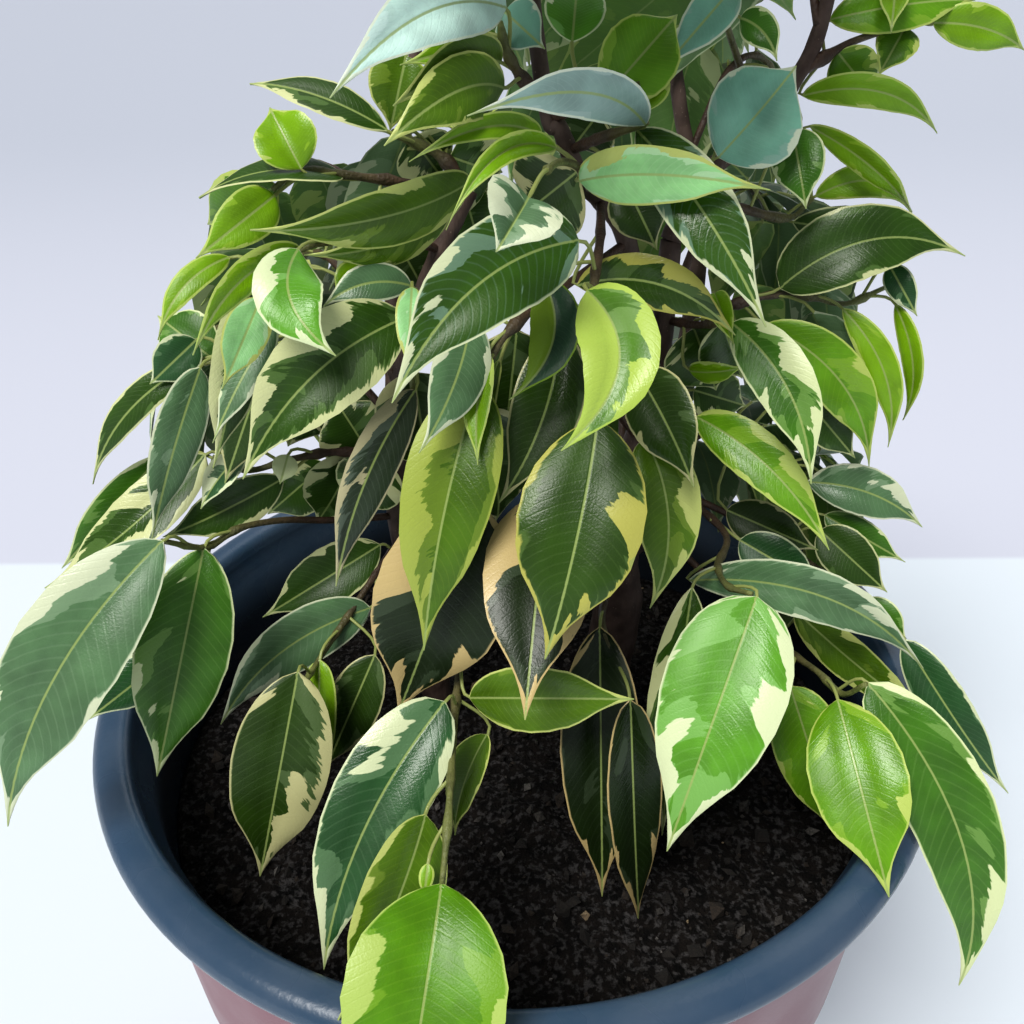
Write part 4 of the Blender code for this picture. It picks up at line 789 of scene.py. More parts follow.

# %% [markdown]
# A leaf's tone is three colours: the green of its middle, the grey-green of the patches beside the cream,
# and the cream itself. Young leaves are yellow-green and old ones deep green. Some tones hold painted light:
# a painted sheen, pale blue-green, where a leaf mirrors the window, a painted glow where light shines
# through a young leaf, and painted shade, nearly black, on leaves in the shadow of others. Each tone has a
# name, so that a row of the table can be read like a note.

# %% Leaf tones
Tone = namedtuple("Tone", "centre patch pale")
TONES = {
    "dark": Tone((0.027, 0.074, 0.004), (0.090, 0.172, 0.036), (0.620, 0.650, 0.330)),
    # Painted shade: a nearly black tone for leaves that hang in the shadow of others
    "deep_shade": Tone((0.009, 0.021, 0.003), (0.036, 0.058, 0.026), (0.560, 0.430, 0.190)),
    "shade": Tone((0.024, 0.058, 0.005), (0.085, 0.142, 0.045), (0.520, 0.510, 0.250)),
    "slate": Tone((0.030, 0.048, 0.025), (0.108, 0.144, 0.102), (0.500, 0.460, 0.270)),
    "gilt": Tone((0.025, 0.065, 0.003), (0.075, 0.138, 0.027), (0.430, 0.420, 0.090)),
    # The next tone's patches are a painted pale-blue sheen on a dark green leaf
    "frost_sheen": Tone((0.033, 0.094, 0.005), (0.163, 0.275, 0.181), (0.620, 0.670, 0.420)),
    "blue": Tone((0.022, 0.085, 0.022), (0.100, 0.200, 0.088), (0.620, 0.680, 0.420)),
    "green": Tone((0.049, 0.158, 0.008), (0.155, 0.305, 0.060), (0.650, 0.720, 0.390)),
    "bright": Tone((0.106, 0.312, 0.020), (0.213, 0.463, 0.106), (0.680, 0.760, 0.460)),
    "olive": Tone((0.078, 0.162, 0.005), (0.175, 0.280, 0.026), (0.540, 0.600, 0.180)),
    "mustard": Tone((0.062, 0.138, 0.004), (0.150, 0.237, 0.022), (0.340, 0.410, 0.070)),
    "leek": Tone((0.084, 0.215, 0.005), (0.185, 0.335, 0.025), (0.500, 0.600, 0.150)),
    "fresh": Tone((0.119, 0.294, 0.005), (0.225, 0.413, 0.027), (0.460, 0.570, 0.130)),
    # The next tone is a young leaf's yellow-green with a painted glow of light shining through the blade
    "spring_glow": Tone((0.088, 0.244, 0.001), (0.175, 0.362, 0.015), (0.420, 0.560, 0.130)),
    "lime": Tone((0.178, 0.356, 0.004), (0.270, 0.454, 0.022), (0.470, 0.590, 0.140)),
    # The next four tones hold a painted sheen, the window's pale bluish reflection: over light green, on its
    # own, over grey and over blue-green
    "mint_sheen": Tone((0.285, 0.580, 0.235), (0.460, 0.700, 0.390), (0.480, 0.540, 0.150)),
    "sheen": Tone((0.590, 0.810, 0.730), (0.650, 0.840, 0.780), (0.740, 0.820, 0.660)),
    "silver_sheen": Tone((0.263, 0.388, 0.350), (0.375, 0.500, 0.463), (0.680, 0.740, 0.600)),
    "teal_sheen": Tone((0.175, 0.400, 0.290), (0.260, 0.440, 0.350), (0.600, 0.670, 0.500)),
    "grey": Tone((0.094, 0.188, 0.083), (0.213, 0.331, 0.188), (0.640, 0.690, 0.480)),
    "folded": Tone((0.076, 0.190, 0.014), (0.175, 0.310, 0.080), (0.400, 0.540, 0.090)),
    "halved": Tone((0.018, 0.062, 0.027), (0.062, 0.138, 0.069), (0.170, 0.280, 0.012)),
}


def leaf(base_u, base_v, base_depth, tip_u, tip_v, tip_depth, wide, tone, left, right, roll=0.0,
         fold=14.0, arch=0.08, bend=0.0, jags=None):
    """A leaf read off the photo: its blade's ends, its width, its look and its turn.

    Roll turns the blade about its length, fold lifts its halves, arch and bend curve its midrib up and to
    the left, and jags is the seed of its cream margin's pattern.
    """
    base = seen(base_u, base_v, base_depth)
    tip = seen(tip_u, tip_v, tip_depth)
    towards = unit(VIEWPOINT - (base + tip) / 2)
    facing = turned(towards, unit(tip - base), math.radians(roll))
    return Leaf(None, None, base, tip, facing, wide, fold, arch, bend,
                (tone, left, right, jags))


print("tones:", ", ".join(TONES))


# %% Leafy stems that the photo shows
def photo_sprays():
    """The leafy stems that the photo shows, each leaf read off it."""
    return [
        Spray("spray_front_low", stem((404, 400, 2), (440, 430, -8), (466, 545, -26),
              (462, 640, -37), (456, 700, -50), (452, 760, -67), (448, 822, -81), (442, 884, -90)), [
              leaf(442, 884, -90, 404, 1130, -118, 30, "spring_glow", 0.3, 0.35, arch=0.16, jags=48),
              leaf(445, 702, -58, 324, 969, -88, 20, "blue", 0.45, 0.2, bend=0.07, jags=60),
              leaf(425, 815, -76, 338, 1020, -97, 18, "olive", 0.15, 0.1, roll=-30),
              leaf(488, 735, -52, 455, 835, -64, 13, "olive", 0.1, 0.1, roll=50),
              leaf(470, 697, -50, 634, 699, -56, 15, "olive", 0.08, 0.08, roll=20, bend=-0.03),
              leaf(428, 864, -86, 424, 897, -90, 3, "lime", 0, 0)], 0),
        Spray("spray_front_middle", stem((601, 201, 3), (600, 240, -14), (594, 290, -28),
              (600, 345, -36), (601, 418, -42)), [
              leaf(598, 420, -42, 545, 659, -66, 24, "gilt", 0.1, 0.5, fold=10, bend=-0.02, jags=51),
              leaf(588, 291, -38, 561, 451, -60, 16, "folded", 1.6, 0.6, fold=30, arch=0.14, bend=-0.24,
                   jags=27),
              leaf(545, 283, -24, 509, 400, -40, 11, "halved", 1.5, 0.05, fold=30, bend=-0.19),
              leaf(578, 241, -30, 392, 403, -56, 18, "frost_sheen", 0.5, 0.3, fold=20, arch=0.10, bend=0.12,
                   jags=54),
              leaf(578, 285, -12, 735, 335, -22, 11, "gilt", 0.35, 0.55, roll=10, arch=0.12, bend=-0.17,
                   jags=27)], 1),
        Spray("spray_front_right", stem((655, 372, 12), (652, 385, -4), (648, 405, -14),
              (645, 437, -20), (642, 480, -24)), [
              leaf(645, 437, -20, 650, 608, -38, 15, "olive", 0.15, 0.5, bend=-0.12, jags=45),
              leaf(637, 372, -16, 694, 487, -36, 15, "shade", 0.2, 0.2, roll=15, bend=-0.05)], 1),
        Spray("spray_front_inner", stem((640, 440, 10), (600, 400, -4), (566, 440, -18),
              (552, 488, -26)), [
              leaf(549, 494, -29, 525, 720, -70, 23, "deep_shade", 0.5, 0.45, roll=4, jags=69),
              leaf(560, 330, -16, 499, 503, -36, 15, "shade", 0.15, 0.1, bend=-0.07)], 2),
        Spray("spray_front_left", stem((627, 242, 6), (560, 290, -10), (515, 325, -20),
              (490, 360, -24), (477, 420, -28), (475, 500, -32)), [
              leaf(478, 385, -30, 424, 650, -52, 19, "mustard", 0.9, 0.15, roll=5, bend=0.02, jags=24),
              leaf(487, 355, -26, 478, 465, -40, 7, "lime", 0.2, 0.2, roll=30),
              leaf(500, 360, -20, 487, 495, -34, 7, "olive", 0.2, 0.2, roll=55),
              leaf(475, 500, -34, 398, 712, -48, 29, "deep_shade", 0.5, 0.3, roll=-5, jags=57),
              leaf(470, 318, -22, 419, 453, -42, 12, "grey", 0.3, 0.3, roll=-15, bend=-0.03)], 3),
        Spray("spray_centre_low", stem((616, 575, 6), (608, 590, -14), (602, 622, -32),
              (618, 665, -40), (628, 698, -44)), [
              leaf(600, 627, -34, 602, 896, -57, 20, "deep_shade", 0.35, 0.35, fold=24),
              leaf(630, 700, -44, 638, 918, -58, 14, "deep_shade", 0.3, 0.3, roll=-30, bend=0.05)], 0),
        Spray("spray_left_curtain", stem((417, 318, 2), (410, 312, -12), (406, 330, -18),
              (413, 390, -20)), [
              leaf(405, 318, -20, 243, 479, -40, 19, "dark", 0.65, 0.6, fold=18, bend=0.10, jags=48),
              leaf(415, 390, -20, 336, 586, -42, 11, "slate", 0.7, 0.05, roll=-20, bend=0.09, jags=9),
              leaf(412, 288, -22, 407, 374, -34, 6, "mint_sheen", 0.3, 0.3),
              leaf(411, 286, -16, 323, 307, -22, 8, "grey", 0.1, 0.1, roll=10, bend=0.12),
              leaf(396, 330, -10, 330, 352, -8, 12, "shade", 0.1, 0.1)], 1),
        Spray("spray_left_upper", stem((440, 250, 4), (400, 238, -6), (350, 238, -14),
              (300, 250, -20), (266, 280, -20)), [
              leaf(298, 250, -24, 336, 356, -42, 13, "bright", 0.5, 0.1, fold=10, arch=0.12, bend=0.18,
                   jags=57),
              leaf(300, 250, -18, 193, 355, -36, 7, "lime", 0.3, 0.2, roll=-20, arch=0.12, bend=0.17),
              leaf(261, 298, -20, 222, 389, -34, 9, "mint_sheen", 0.2, 0.2),
              leaf(243, 292, -14, 213, 468, -28, 11, "dark", 1, 0.1, roll=-20),
              leaf(275, 325, -16, 213, 443, -30, 8, "grey", 0.2, 0.2, roll=20),
              leaf(264, 366, -8, 225, 483, -18, 12, "shade", 0.15, 0.15),
              leaf(229, 258, -12, 158, 340, -24, 6, "lime", 0.2, 0.2, roll=20, arch=0.14, bend=0.08)], 1),
        Spray("spray_left_top", stem((462, 206, 7), (420, 186, 1), (352, 176, -5), (299, 172, -8),
              (272, 190, -10)), [
              leaf(470, 181, -10, 250, 230, -34, 13, "olive", 0.3, 0.3, roll=-30, arch=0.12),
              leaf(456, 203, -4, 304, 255, -22, 12, "olive", 0.1, 0.35, roll=-45, arch=0.12),
              leaf(343, 178, -6, 199, 198, -12, 10, "dark", 0.15, 0.15, roll=60, arch=0.12),
              leaf(301, 169, -8, 270, 108, -3, 14, "lime", 0.2, 0.2, fold=30),
              leaf(274, 196, -12, 196, 258, -24, 10, "lime", 0.2, 0.2, arch=0.14),
              leaf(365, 268, -12, 333, 300, -18, 8, "lime", 0.1, 0.1)], 1),
        Spray("spray_left_middle", stem((399, 455, 5), (336, 452, 0), (288, 460, -6),
              (250, 470, -8), (212, 458, -8)), [
              leaf(283, 478, -8, 163, 537, -18, 12, "dark", 0.1, 0.2, roll=-15),
              leaf(245, 452, -10, 201, 509, -20, 9, "blue", 0.9, 0.2, roll=40),
              leaf(288, 455, -8, 280, 484, -12, 6, "green", 1.3, 1.3),
              leaf(205, 455, -8, 45, 588, -22, 14, "dark", 0.6, 0.5, roll=25, bend=-0.08)], 2),
        Spray("spray_left_fan", stem((406, 362, 2), (330, 352, 0), (262, 352, -2),
              (204, 364, -6)), [
              leaf(200, 368, -10, 152, 539, -22, 11, "grey", 0.5, 0.1, roll=-15, bend=0.04),
              leaf(196, 362, -5, 93, 484, -10, 8, "dark", 0.5, 0.15, roll=20, bend=0.08),
              leaf(196, 340, -4, 150, 384, -6, 10, "blue", 0.15, 0.15)], 2),
        Spray("spray_left_far", stem((402, 515, 8), (336, 520, -2), (285, 520, -12),
              (240, 528, -20), (206, 547, -27), (162, 541, -38)), [
              leaf(204, 548, -28, 157, 776, -48, 21, "green", 0.45, 0.1, jags=54),
              leaf(163, 541, -38, 8, 826, -66, 23, "grey", 0.45, 0.12, roll=10, bend=0.07, jags=9),
              leaf(190, 640, -24, 86, 721, -38, 12, "blue", 0.15, 0.15)], 1),
        Spray("spray_left_low", stem((403, 540, 9), (385, 560, 0), (352, 610, -12),
              (322, 655, -24), (300, 690, -36)), [
              leaf(298, 672, -37, 260, 876, -54, 23, "shade", 0.3, 0.7, jags=42),
              leaf(320, 660, -26, 328, 775, -36, 9, "lime", 0.3, 0.3, roll=20),
              leaf(375, 655, -20, 325, 770, -26, 14, "shade", 0.2, 0.2),
              leaf(370, 608, -12, 221, 724, -30, 15, "grey", 0.15, 0.3, roll=-15, bend=0.13),
              leaf(380, 545, 2, 263, 617, -8, 15, "dark", 0.35, 0.1)], 1),
        Spray("spray_right_front", stem((636, 455, 10), (690, 500, 0), (726, 535, -14),
              (718, 566, -24), (728, 586, -34), (752, 594, -41)), [
              leaf(757, 597, -42, 667, 851, -72, 26, "bright", 0.5, 0.45, fold=10, jags=63),
              leaf(692, 588, -30, 662, 835, -50, 14, "dark", 0.45, 0.1, roll=-15, bend=0.03, jags=3),
              leaf(690, 580, -22, 923, 668, -36, 13, "grey", 0.2, 0.5, roll=20, arch=0.1, bend=-0.17,
                   jags=66),
              leaf(740, 540, -12, 825, 590, -20, 12, "blue", 0.1, 0.2)], 1),
        Spray("spray_right_low", stem((622, 490, 8), (690, 560, 2), (752, 620, -12),
              (790, 652, -24), (818, 672, -34), (842, 694, -43), (866, 684, -50)), [
              leaf(838, 700, -46, 889, 897, -68, 21, "fresh", 0.2, 0.3, jags=6),
              leaf(790, 686, -34, 838, 838, -50, 17, "fresh", 0.25, 0.45, jags=66),
              leaf(868, 683, -50, 959, 985, -76, 19, "green", 0.1, 0.4, bend=-0.12, jags=42),
              leaf(795, 610, -14, 935, 723, -26, 11, "olive", 0.3, 0.35, roll=15),
              leaf(865, 599, -4, 907, 641, -10, 9, "green", 0.2, 0.2)], 1),
        Spray("spray_right_edge", stem((628, 470, 9), (740, 520, 10), (820, 570, 2),
              (868, 604, -6), (905, 640, -14)), [
              leaf(905, 640, -16, 1008, 793, -36, 12, "blue", 0.15, 0.15, roll=10),
              leaf(820, 530, 4, 887, 592, -6, 13, "dark", 0.15, 0.1),
              leaf(825, 515, 8, 905, 562, 0, 9, "green", 0.2, 0.2)], 1),
        Spray("spray_right_middle", stem((655, 400, 12), (715, 420, 15), (768, 452, 13),
              (815, 486, 11)), [
              leaf(808, 482, 10, 922, 527, 2, 13, "grey", 0.1, 0.5, bend=-0.10, jags=42),
              leaf(805, 398, 12, 855, 458, 6, 11, "dark", 0.15, 0.1),
              leaf(697, 417, -6, 829, 550, -30, 12, "fresh", 0.2, 0.5, bend=-0.08, jags=27),
              leaf(727, 510, 0, 818, 550, -8, 12, "shade", 0.15, 0.15)], 2),
        Spray("spray_right_fan", stem((664, 320, 14), (700, 325, 4), (726, 318, -4),
              (736, 326, -8)), [
              leaf(732, 323, -10, 811, 484, -32, 13, "green", 0.45, 0.65, bend=-0.11, jags=45),
              leaf(715, 294, -4, 734, 345, -14, 8, "lime", 0.3, 0.2, fold=50),
              leaf(690, 370, 0, 745, 366, -6, 7, "lime", 0.2, 0.2, roll=40)], 1),
        Spray("spray_right_upper", stem((668, 290, 15), (720, 306, 16), (770, 295, 17),
              (809, 296, 18), (845, 304, 18), (884, 288, 20)), [
              leaf(765, 325, 14, 869, 466, 2, 14, "fresh", 0.2, 0.35, bend=-0.14),
              leaf(843, 309, 16, 888, 447, 6, 8, "lime", 0.2, 0.2, bend=-0.12),
              leaf(896, 305, 18, 903, 420, 12, 6, "lime", 0.2, 0.2, roll=30, bend=-0.17),
              leaf(890, 266, 20, 917, 316, 14, 7, "blue", 0.35, 0.1),
              leaf(780, 288, 16, 965, 256, 16, 18, "dark", 0.12, 0.1, roll=-10, arch=0.12, bend=-0.15)], 1),
        Spray("spray_right_high", stem((690, 190, 17), (735, 206, 22), (788, 218, 27),
              (812, 198, 29)), [
              leaf(793, 222, 30, 940, 245, 32, 12, "dark", 0.1, 0.2),
              leaf(816, 196, 30, 912, 215, 28, 8, "lime", 0.2, 0.2, arch=0.14, bend=-0.24),
              leaf(811, 126, 32, 912, 212, 26, 7, "lime", 0.2, 0.2, roll=30, arch=0.2, bend=-0.18),
              leaf(793, 130, 20, 806, 209, 10, 12, "green", 0.2, 0.2)], 1),
        Spray("spray_centre_high", stem((590, 190, 2), (588, 176, -12), (575, 165, -20),
              (560, 162, -28), (547, 170, -36)), [
              leaf(580, 180, -18, 770, 190, -34, 11, "mint_sheen", 0.1, 0.5, roll=15, arch=0.12, bend=-0.08,
                   jags=24),
              leaf(555, 148, -20, 446, 230, -40, 6, "lime", 0.2, 0.2, fold=40, arch=0.14, bend=0.16),
              leaf(540, 135, -8, 409, 162, -24, 6, "lime", 0.2, 0.2, fold=35, arch=0.14, bend=0.11),
              leaf(528, 199, -46, 496, 252, -56, 16, "grey", 0.6, 0.6, fold=35)], 3),
        Spray("spray_centre_right", stem((571, 150, 1), (600, 138, -10), (632, 128, -16),
              (648, 122, -18)), [
              leaf(637, 130, -14, 766, 327, -38, 13, "frost_sheen", 0.15, 0.5, arch=0.12, bend=-0.04, jags=51),
              leaf(645, 124, -18, 467, 116, -36, 9, "silver_sheen", 0.1, 0.15, roll=-15, arch=0.12, bend=0.16),
              leaf(625, 182, -6, 657, 250, -12, 12, "shade", 0.1, 0.1)], 2),
        Spray("spray_top_left", stem((547, 104, 3), (522, 78, 0), (506, 50, -3), (500, 22, -5)), [
              leaf(500, 62, -4, 393, 106, -22, 10, "olive", 0.2, 0.3, roll=-15, arch=0.14, bend=0.12),
              leaf(503, 88, -8, 384, 146, -28, 12, "olive", 0.2, 0.3, arch=0.14, bend=0.09),
              leaf(505, 8, -5, 330, 98, -32, 12, "sheen", 0.25, 0.1, arch=0.12, bend=0.12),
              leaf(497, 38, 0, 400, 65, -12, 7, "lime", 0.2, 0.2),
              leaf(505, 12, 2, 545, 49, -12, 10, "teal_sheen", 0.15, 0.15)], 1),
        Spray("spray_left_crown", stem((470, 190, 8), (440, 156, 9), (392, 133, 4)), [
              leaf(387, 131, 2, 250, 84, 8, 9, "dark", 0.2, 0.45, roll=40, arch=0.1)], 2),
        Spray("spray_top_middle", stem((553, 118, 2), (585, 102, -8), (604, 98, -14),
              (640, 84, -16)), [
              leaf(604, 98, -16, 677, 15, -4, 15, "fresh", 0.15, 0.2, fold=20),
              leaf(648, 110, -16, 650, 62, -12, 8, "lime", 0.2, 0.2),
              leaf(572, 42, -4, 578, -22, 8, 12, "bright", 0.2, 0.2)], 1),
        Spray("spray_top_right", stem((740, 140, 23), (748, 95, 28), (738, 60, 26),
              (726, 20, 20), (726, -16, 16)), [
              leaf(718, 157, 10, 796, 66, 18, 22, "teal_sheen", 0.12, 0.12, roll=10),
              leaf(735, -15, 8, 661, 71, -8, 9, "teal_sheen", 0.12, 0.1),
              leaf(741, 18, 6, 777, 61, 0, 7, "green", 0.2, 0.2, bend=-0.12)], 0),
        Spray("spray_right_tip", stem((800, 74, 30), (838, 49, 34), (868, 36, 36), (914, 23, 39),
              (932, 22, 40)), [
              leaf(933, 23, 40, 1024, 50, 40, 10, "lime", 0.2, 0.2, bend=-0.08),
              leaf(830, 20, 38, 975, 0, 42, 12, "fresh", 0.2, 0.2, roll=-20),
              leaf(905, 28, 38, 878, 76, 28, 10, "leek", 0.2, 0.2),
              leaf(897, -25, 40, 891, 33, 28, 7, "lime", 0.1, 0.1),
              leaf(803, 95, 32, 937, 133, 28, 8, "lime", 0.2, 0.2, roll=20, arch=0.10, bend=-0.20)], 1),
    ]


print("leafy stems read off the photo:", len(photo_sprays()))

# %% [markdown]
# The stems that the photograph doesn't show leave the limbs all round, arch and droop. Their leaves hang
# left and right in turn, as a weeping fig's do. Drawing each by hand would take a table as long as the
# first, and nobody could say that it is truer, so a rule with a seed does it.

# %% Leafy stems that follow a rule
LEAF_LENGTHS = (38.0, 56.0)
LEAF_WIDTHS = (0.38, 0.47)
# A rule stem: the side and limb it grows on and where, its azimuth in degrees, reach, rise and leaves
Rule = namedtuple("Rule", "name side limb along azimuth reach rise leaves")
RULE_SPRAYS = [
    Rule("spray_back_low_1", 0, 0, 0.50, 36, 80, 32, 7),
    Rule("spray_back_low_2", 0, 0, 0.54, 86, 84, 34, 7),
    Rule("spray_back_low_3", 0, 3, 0.34, 106, 62, 12, 7),
    Rule("spray_back_low_4", 1, 0, 0.52, 122, 86, 32, 7),
    Rule("spray_back_low_5", 1, 0, 0.46, 156, 80, 30, 7),
    Rule("spray_back_middle_1", 0, 0, 0.86, 52, 72, 34, 7),
    Rule("spray_back_middle_2", 0, 3, 0.66, 40, 50, 30, 7),
    Rule("spray_back_middle_3", 0, 3, 0.80, 112, 56, 30, 7),
    Rule("spray_back_middle_4", 1, 1, 0.60, 158, 56, 22, 7),
    Rule("spray_back_high_1", 0, 3, 0.97, 72, 44, 32, 7),
    Rule("spray_back_high_2", 0, 2, 0.80, 138, 50, 26, 7),
    Rule("spray_back_high_3", 0, 1, 0.80, 104, 46, 26, 7),
    Rule("spray_crown_right", 0, 1, 0.93, 40, 44, 22, 7),
    Rule("spray_crown_back", 0, 2, 0.90, 100, 48, 22, 7),
    Rule("spray_crown_front", 0, 2, 0.97, 250, 44, 20, 7),
    Rule("spray_crown_top", 0, 2, 0.985, 330, 46, 26, 7),
]


def point_along(path, share):
    """Point and direction at a share of a path's point count."""
    place = share * (len(path) - 1)
    index = min(int(place), len(path) - 2)
    part = place - index
    point = path[index] * (1 - part) + path[index + 1] * part
    return point, unit(path[index + 1] - path[index])


def rule_stem(rule, stems):
    """An arching twig: out along its azimuth, up to its rise and then drooping."""
    start, _ = point_along(stems[rule.side][rule.limb].path, rule.along)
    azimuth = math.radians(rule.azimuth)
    outward = np.array([math.cos(azimuth), math.sin(azimuth), 0.0])
    points = []
    for share in (0.0, 0.25, 0.5, 0.75, 1.0):
        height = rule.rise * 4 * share * (1 - share) * (1 - 0.25 * share) - 0.12 * rule.reach * share
        points.append(start + outward * rule.reach * share + UP * height)
    return points


def rule_leaf(path, share, side, draw, hidden):
    """A hanging leaf at a share of a twig, on its left or right side."""
    point, along = point_along(path, share)
    sideways = unit(np.cross(along, UP) + NUDGE)
    outward = unit(point * np.array([1.0, 1.0, 0.0]) + NUDGE)
    if hidden:
        outward = unit(outward + 1.4 * AWAY)
    petiole = unit(0.6 * along + side * draw.uniform(0.5, 0.9) * sideways + 0.35 * outward
                   + draw.uniform(-0.1, 0.5) * UP)
    base = point + petiole * PETIOLE_LENGTH * draw.uniform(0.9, 1.4)
    fall = draw.uniform(0.5, 1.3)
    way = unit(0.4 * along + side * draw.uniform(0.2, 0.7) * sideways + 0.45 * outward - fall * UP)
    long = draw.uniform(*LEAF_LENGTHS)
    facing = unit(outward * draw.uniform(0.5, 1.0) + UP * draw.uniform(0.5, 1.0)
                  + sideways * draw.uniform(-0.4, 0.4))
    return Leaf(share, point, base, base + way * long, facing, long * draw.uniform(*LEAF_WIDTHS),
                draw.uniform(5.0, 25.0), draw.uniform(0.06, 0.14), draw.uniform(-0.06, 0.06), None)


print("leafy stems that follow the rule:", len(RULE_SPRAYS))

# %% [markdown]
# ## Settling the leaves
#
# Leaves in a real crown slide past each other. Here each one is tried at its place in the photo, then
# moved along its line of sight, which doesn't change the picture, until it crosses nothing. The tests run
# on the CAD's own coarse blade, so the outcome is the CAD's. A physics simulation could push the leaves
# apart too, but it wouldn't keep them where the photograph shows them.

# %% The CAD's coarse shapes, for the tests only
BLADE_RING = 4


def tube(path, radii, sides):
    """A closed tube of triangles: each face of the round tube is cut into a fan from its first corner."""
    verts, faces = round_tube(path, radii, sides)
    return verts, [(face[0], *face[corner:corner + 2]) for face in faces
                   for corner in range(1, len(face) - 1)]


def midrib(item, t):
    """Point of the midrib at t: a parabola from base to tip that rises on the upper face.

    A bend moves its middle sideways, to the left where a hanging leaf is seen from the front.
    """
    chord = item.tip - item.base
    rise = unit(item.facing - unit(chord) * np.dot(item.facing, unit(chord)))
    sideways = np.cross(unit(chord), rise)
    away = (item.arch * rise + item.bend * sideways) * np.linalg.norm(chord)
    return item.base + chord * t + away * 4 * t * (1 - t)


def blade(item, margin=0.0):
    """A thin arched blade with its petiole: a diamond of left, top, right, bottom a station."""
    verts = []
    thick = BLADE_THICKNESS + margin
    fold = math.radians(item.fold)
    start = unit(midrib(item, 0.05) - item.base)
    leaves_root = unit(unit(item.base - item.root) + 0.3 * start)
    side = unit(np.cross(leaves_root, item.facing + 0.01 * UP))
    above = np.cross(side, leaves_root)
    petiole = PETIOLE_RADIUS + margin / 2
    for across, lift in ((-petiole, 0), (0, petiole), (petiole, 0), (0, -petiole)):
        verts.append(item.root + side * across + above * lift)
    outline = BROAD_OUTLINE if item.wide > BROAD_FROM else SLIM_OUTLINE
    for t, share in outline:
        point = midrib(item, t)
        along = unit(midrib(item, t + 0.04) - midrib(item, max(t - 0.04, 0.0)))
        side = unit(np.cross(along, item.facing))
        above = np.cross(side, along)
        half = item.wide / 2 * share + margin
        out = side * half * math.cos(fold)
        lift = above * half * math.sin(fold)
        verts += [point - out + lift, point + above * thick / 2, point + out + lift,
                  point - above * thick / 2]
    tip_way = unit(item.tip - midrib(item, 0.9))
    verts.append(item.tip + tip_way * margin)
    faces = [(0, 1, 2), (0, 2, 3)]
    rings = len(outline)
    for ring in range(rings):
        here, after = BLADE_RING * ring, BLADE_RING * (ring + 1)
        for first, second in ((0, 1), (2, 1), (3, 0), (3, 2)):
            faces.append((here + first, after + first, after + second))
            faces.append((here + first, after + second, here + second))
    last = BLADE_RING * rings
    end = last + BLADE_RING
    faces += [(last, end, last + 1), (last + 1, end, last + 2), (last + 2, end, last + 3),
              (last + 3, end, last)]
    return np.array(verts), faces


# %% Tests of room
FIRST_ROOT, LAST_ROOT, ROOTS_TRIED = 0.06, 0.995, 60
# How many millimetres of a petiole's ideal length its natural direction is worth
DIRECTION_WORTH = 7.0
# Millimetres by which a settled leaf may pass the CAD model's box
BOX_PLAY = 0.05


class Neighbours:
    """Every solid placed so far, to find room for the next."""

    def __init__(self):
        self.names = []
        self.lows = np.empty((0, 3))
        self.highs = np.empty((0, 3))
        self.trees = []

    def add(self, name, verts, faces):
        """Remember a solid, its box and its search tree."""
        self.names.append(name)
        self.lows = np.vstack([self.lows, verts.min(axis=0)])
        self.highs = np.vstack([self.highs, verts.max(axis=0)])
        self.trees.append(BVHTree.FromPolygons(verts.tolist(), faces))

    def touches(self, name, verts, faces):
        """Names of the other nodes that the shape crosses."""
        low, high = verts.min(axis=0), verts.max(axis=0)
        near = np.all((self.lows < high) & (self.highs > low), axis=1)
        tree = None
        found = []
        for index in np.nonzero(near)[0]:
            if self.names[index] == name:
                continue
            tree = tree or BVHTree.FromPolygons(verts.tolist(), faces)
            if tree.overlap(self.trees[index]):
                found.append(self.names[index])
        return found


def bark_gap(barks, points):
    """The smallest distance from points to the bark, below zero for a point inside the wood."""
    gaps = []
    for tree in barks:
        for point in points:
            nearest, normal, _, distance = tree.find_nearest(point.tolist())
            inside = np.dot(point - np.array(nearest), np.array(normal)) < 0
            gaps.append(-distance if inside else distance)
    return min(gaps)


def trimmed(path, barks, radius):
    """A twig's path cut back to start just clear of the limb that it grows on."""
    fine = smooth(path, TRIM_STEPS)
    for index in range(len(fine) - TRIM_STEPS):
        ring, _ = tube(fine[index:index + 2], [radius, radius], TWIG_SIDES)
        corners = ring[:TWIG_SIDES]
        edges = (corners + np.roll(corners, 1, axis=0)) / 2
        if bark_gap(barks, [*corners, *edges]) > TWIG_GAP:
            break
    keep = [fine[index]]
    for point in path:
        if np.argmin(np.linalg.norm(fine - point, axis=1)) > index + TRIM_STEPS // 3:
            keep.append(point)
    return keep


def root_on(path, item):
    """The share of a twig from which a leaf's petiole grows most naturally."""
    best = None
    way = unit(midrib(item, 0.05) - item.base)
    for share in np.linspace(FIRST_ROOT, LAST_ROOT, ROOTS_TRIED):
        point, _ = point_along(path, share)
        reach = item.base - point
        length = np.linalg.norm(reach)
        cost = abs(length - PETIOLE_LENGTH) - DIRECTION_WORTH * np.dot(unit(reach), way)
        if best is None or cost < best[0]:
            best = (cost, share)
    return best[1]


def out_of_the_way(points):
    """Whether all points appear within the crown's outline, and behind what the photo shows."""
    across, down = photo_place(points)
    left = np.interp(down, CROWN_OUTLINE[:, 0], CROWN_OUTLINE[:, 1])
    right = np.interp(down, CROWN_OUTLINE[:, 0], CROWN_OUTLINE[:, 2])
    behind = (points[:, 1] > BEHIND_FROM) | (down < 0)
    gaps = np.hypot(across[:, None] - SEE_THROUGH[:, 0], down[:, None] - SEE_THROUGH[:, 1])
    clear = np.all(gaps > SEE_THROUGH[:, 2], axis=1)
    return bool(np.all((across > left) & (across < right) & behind & clear))


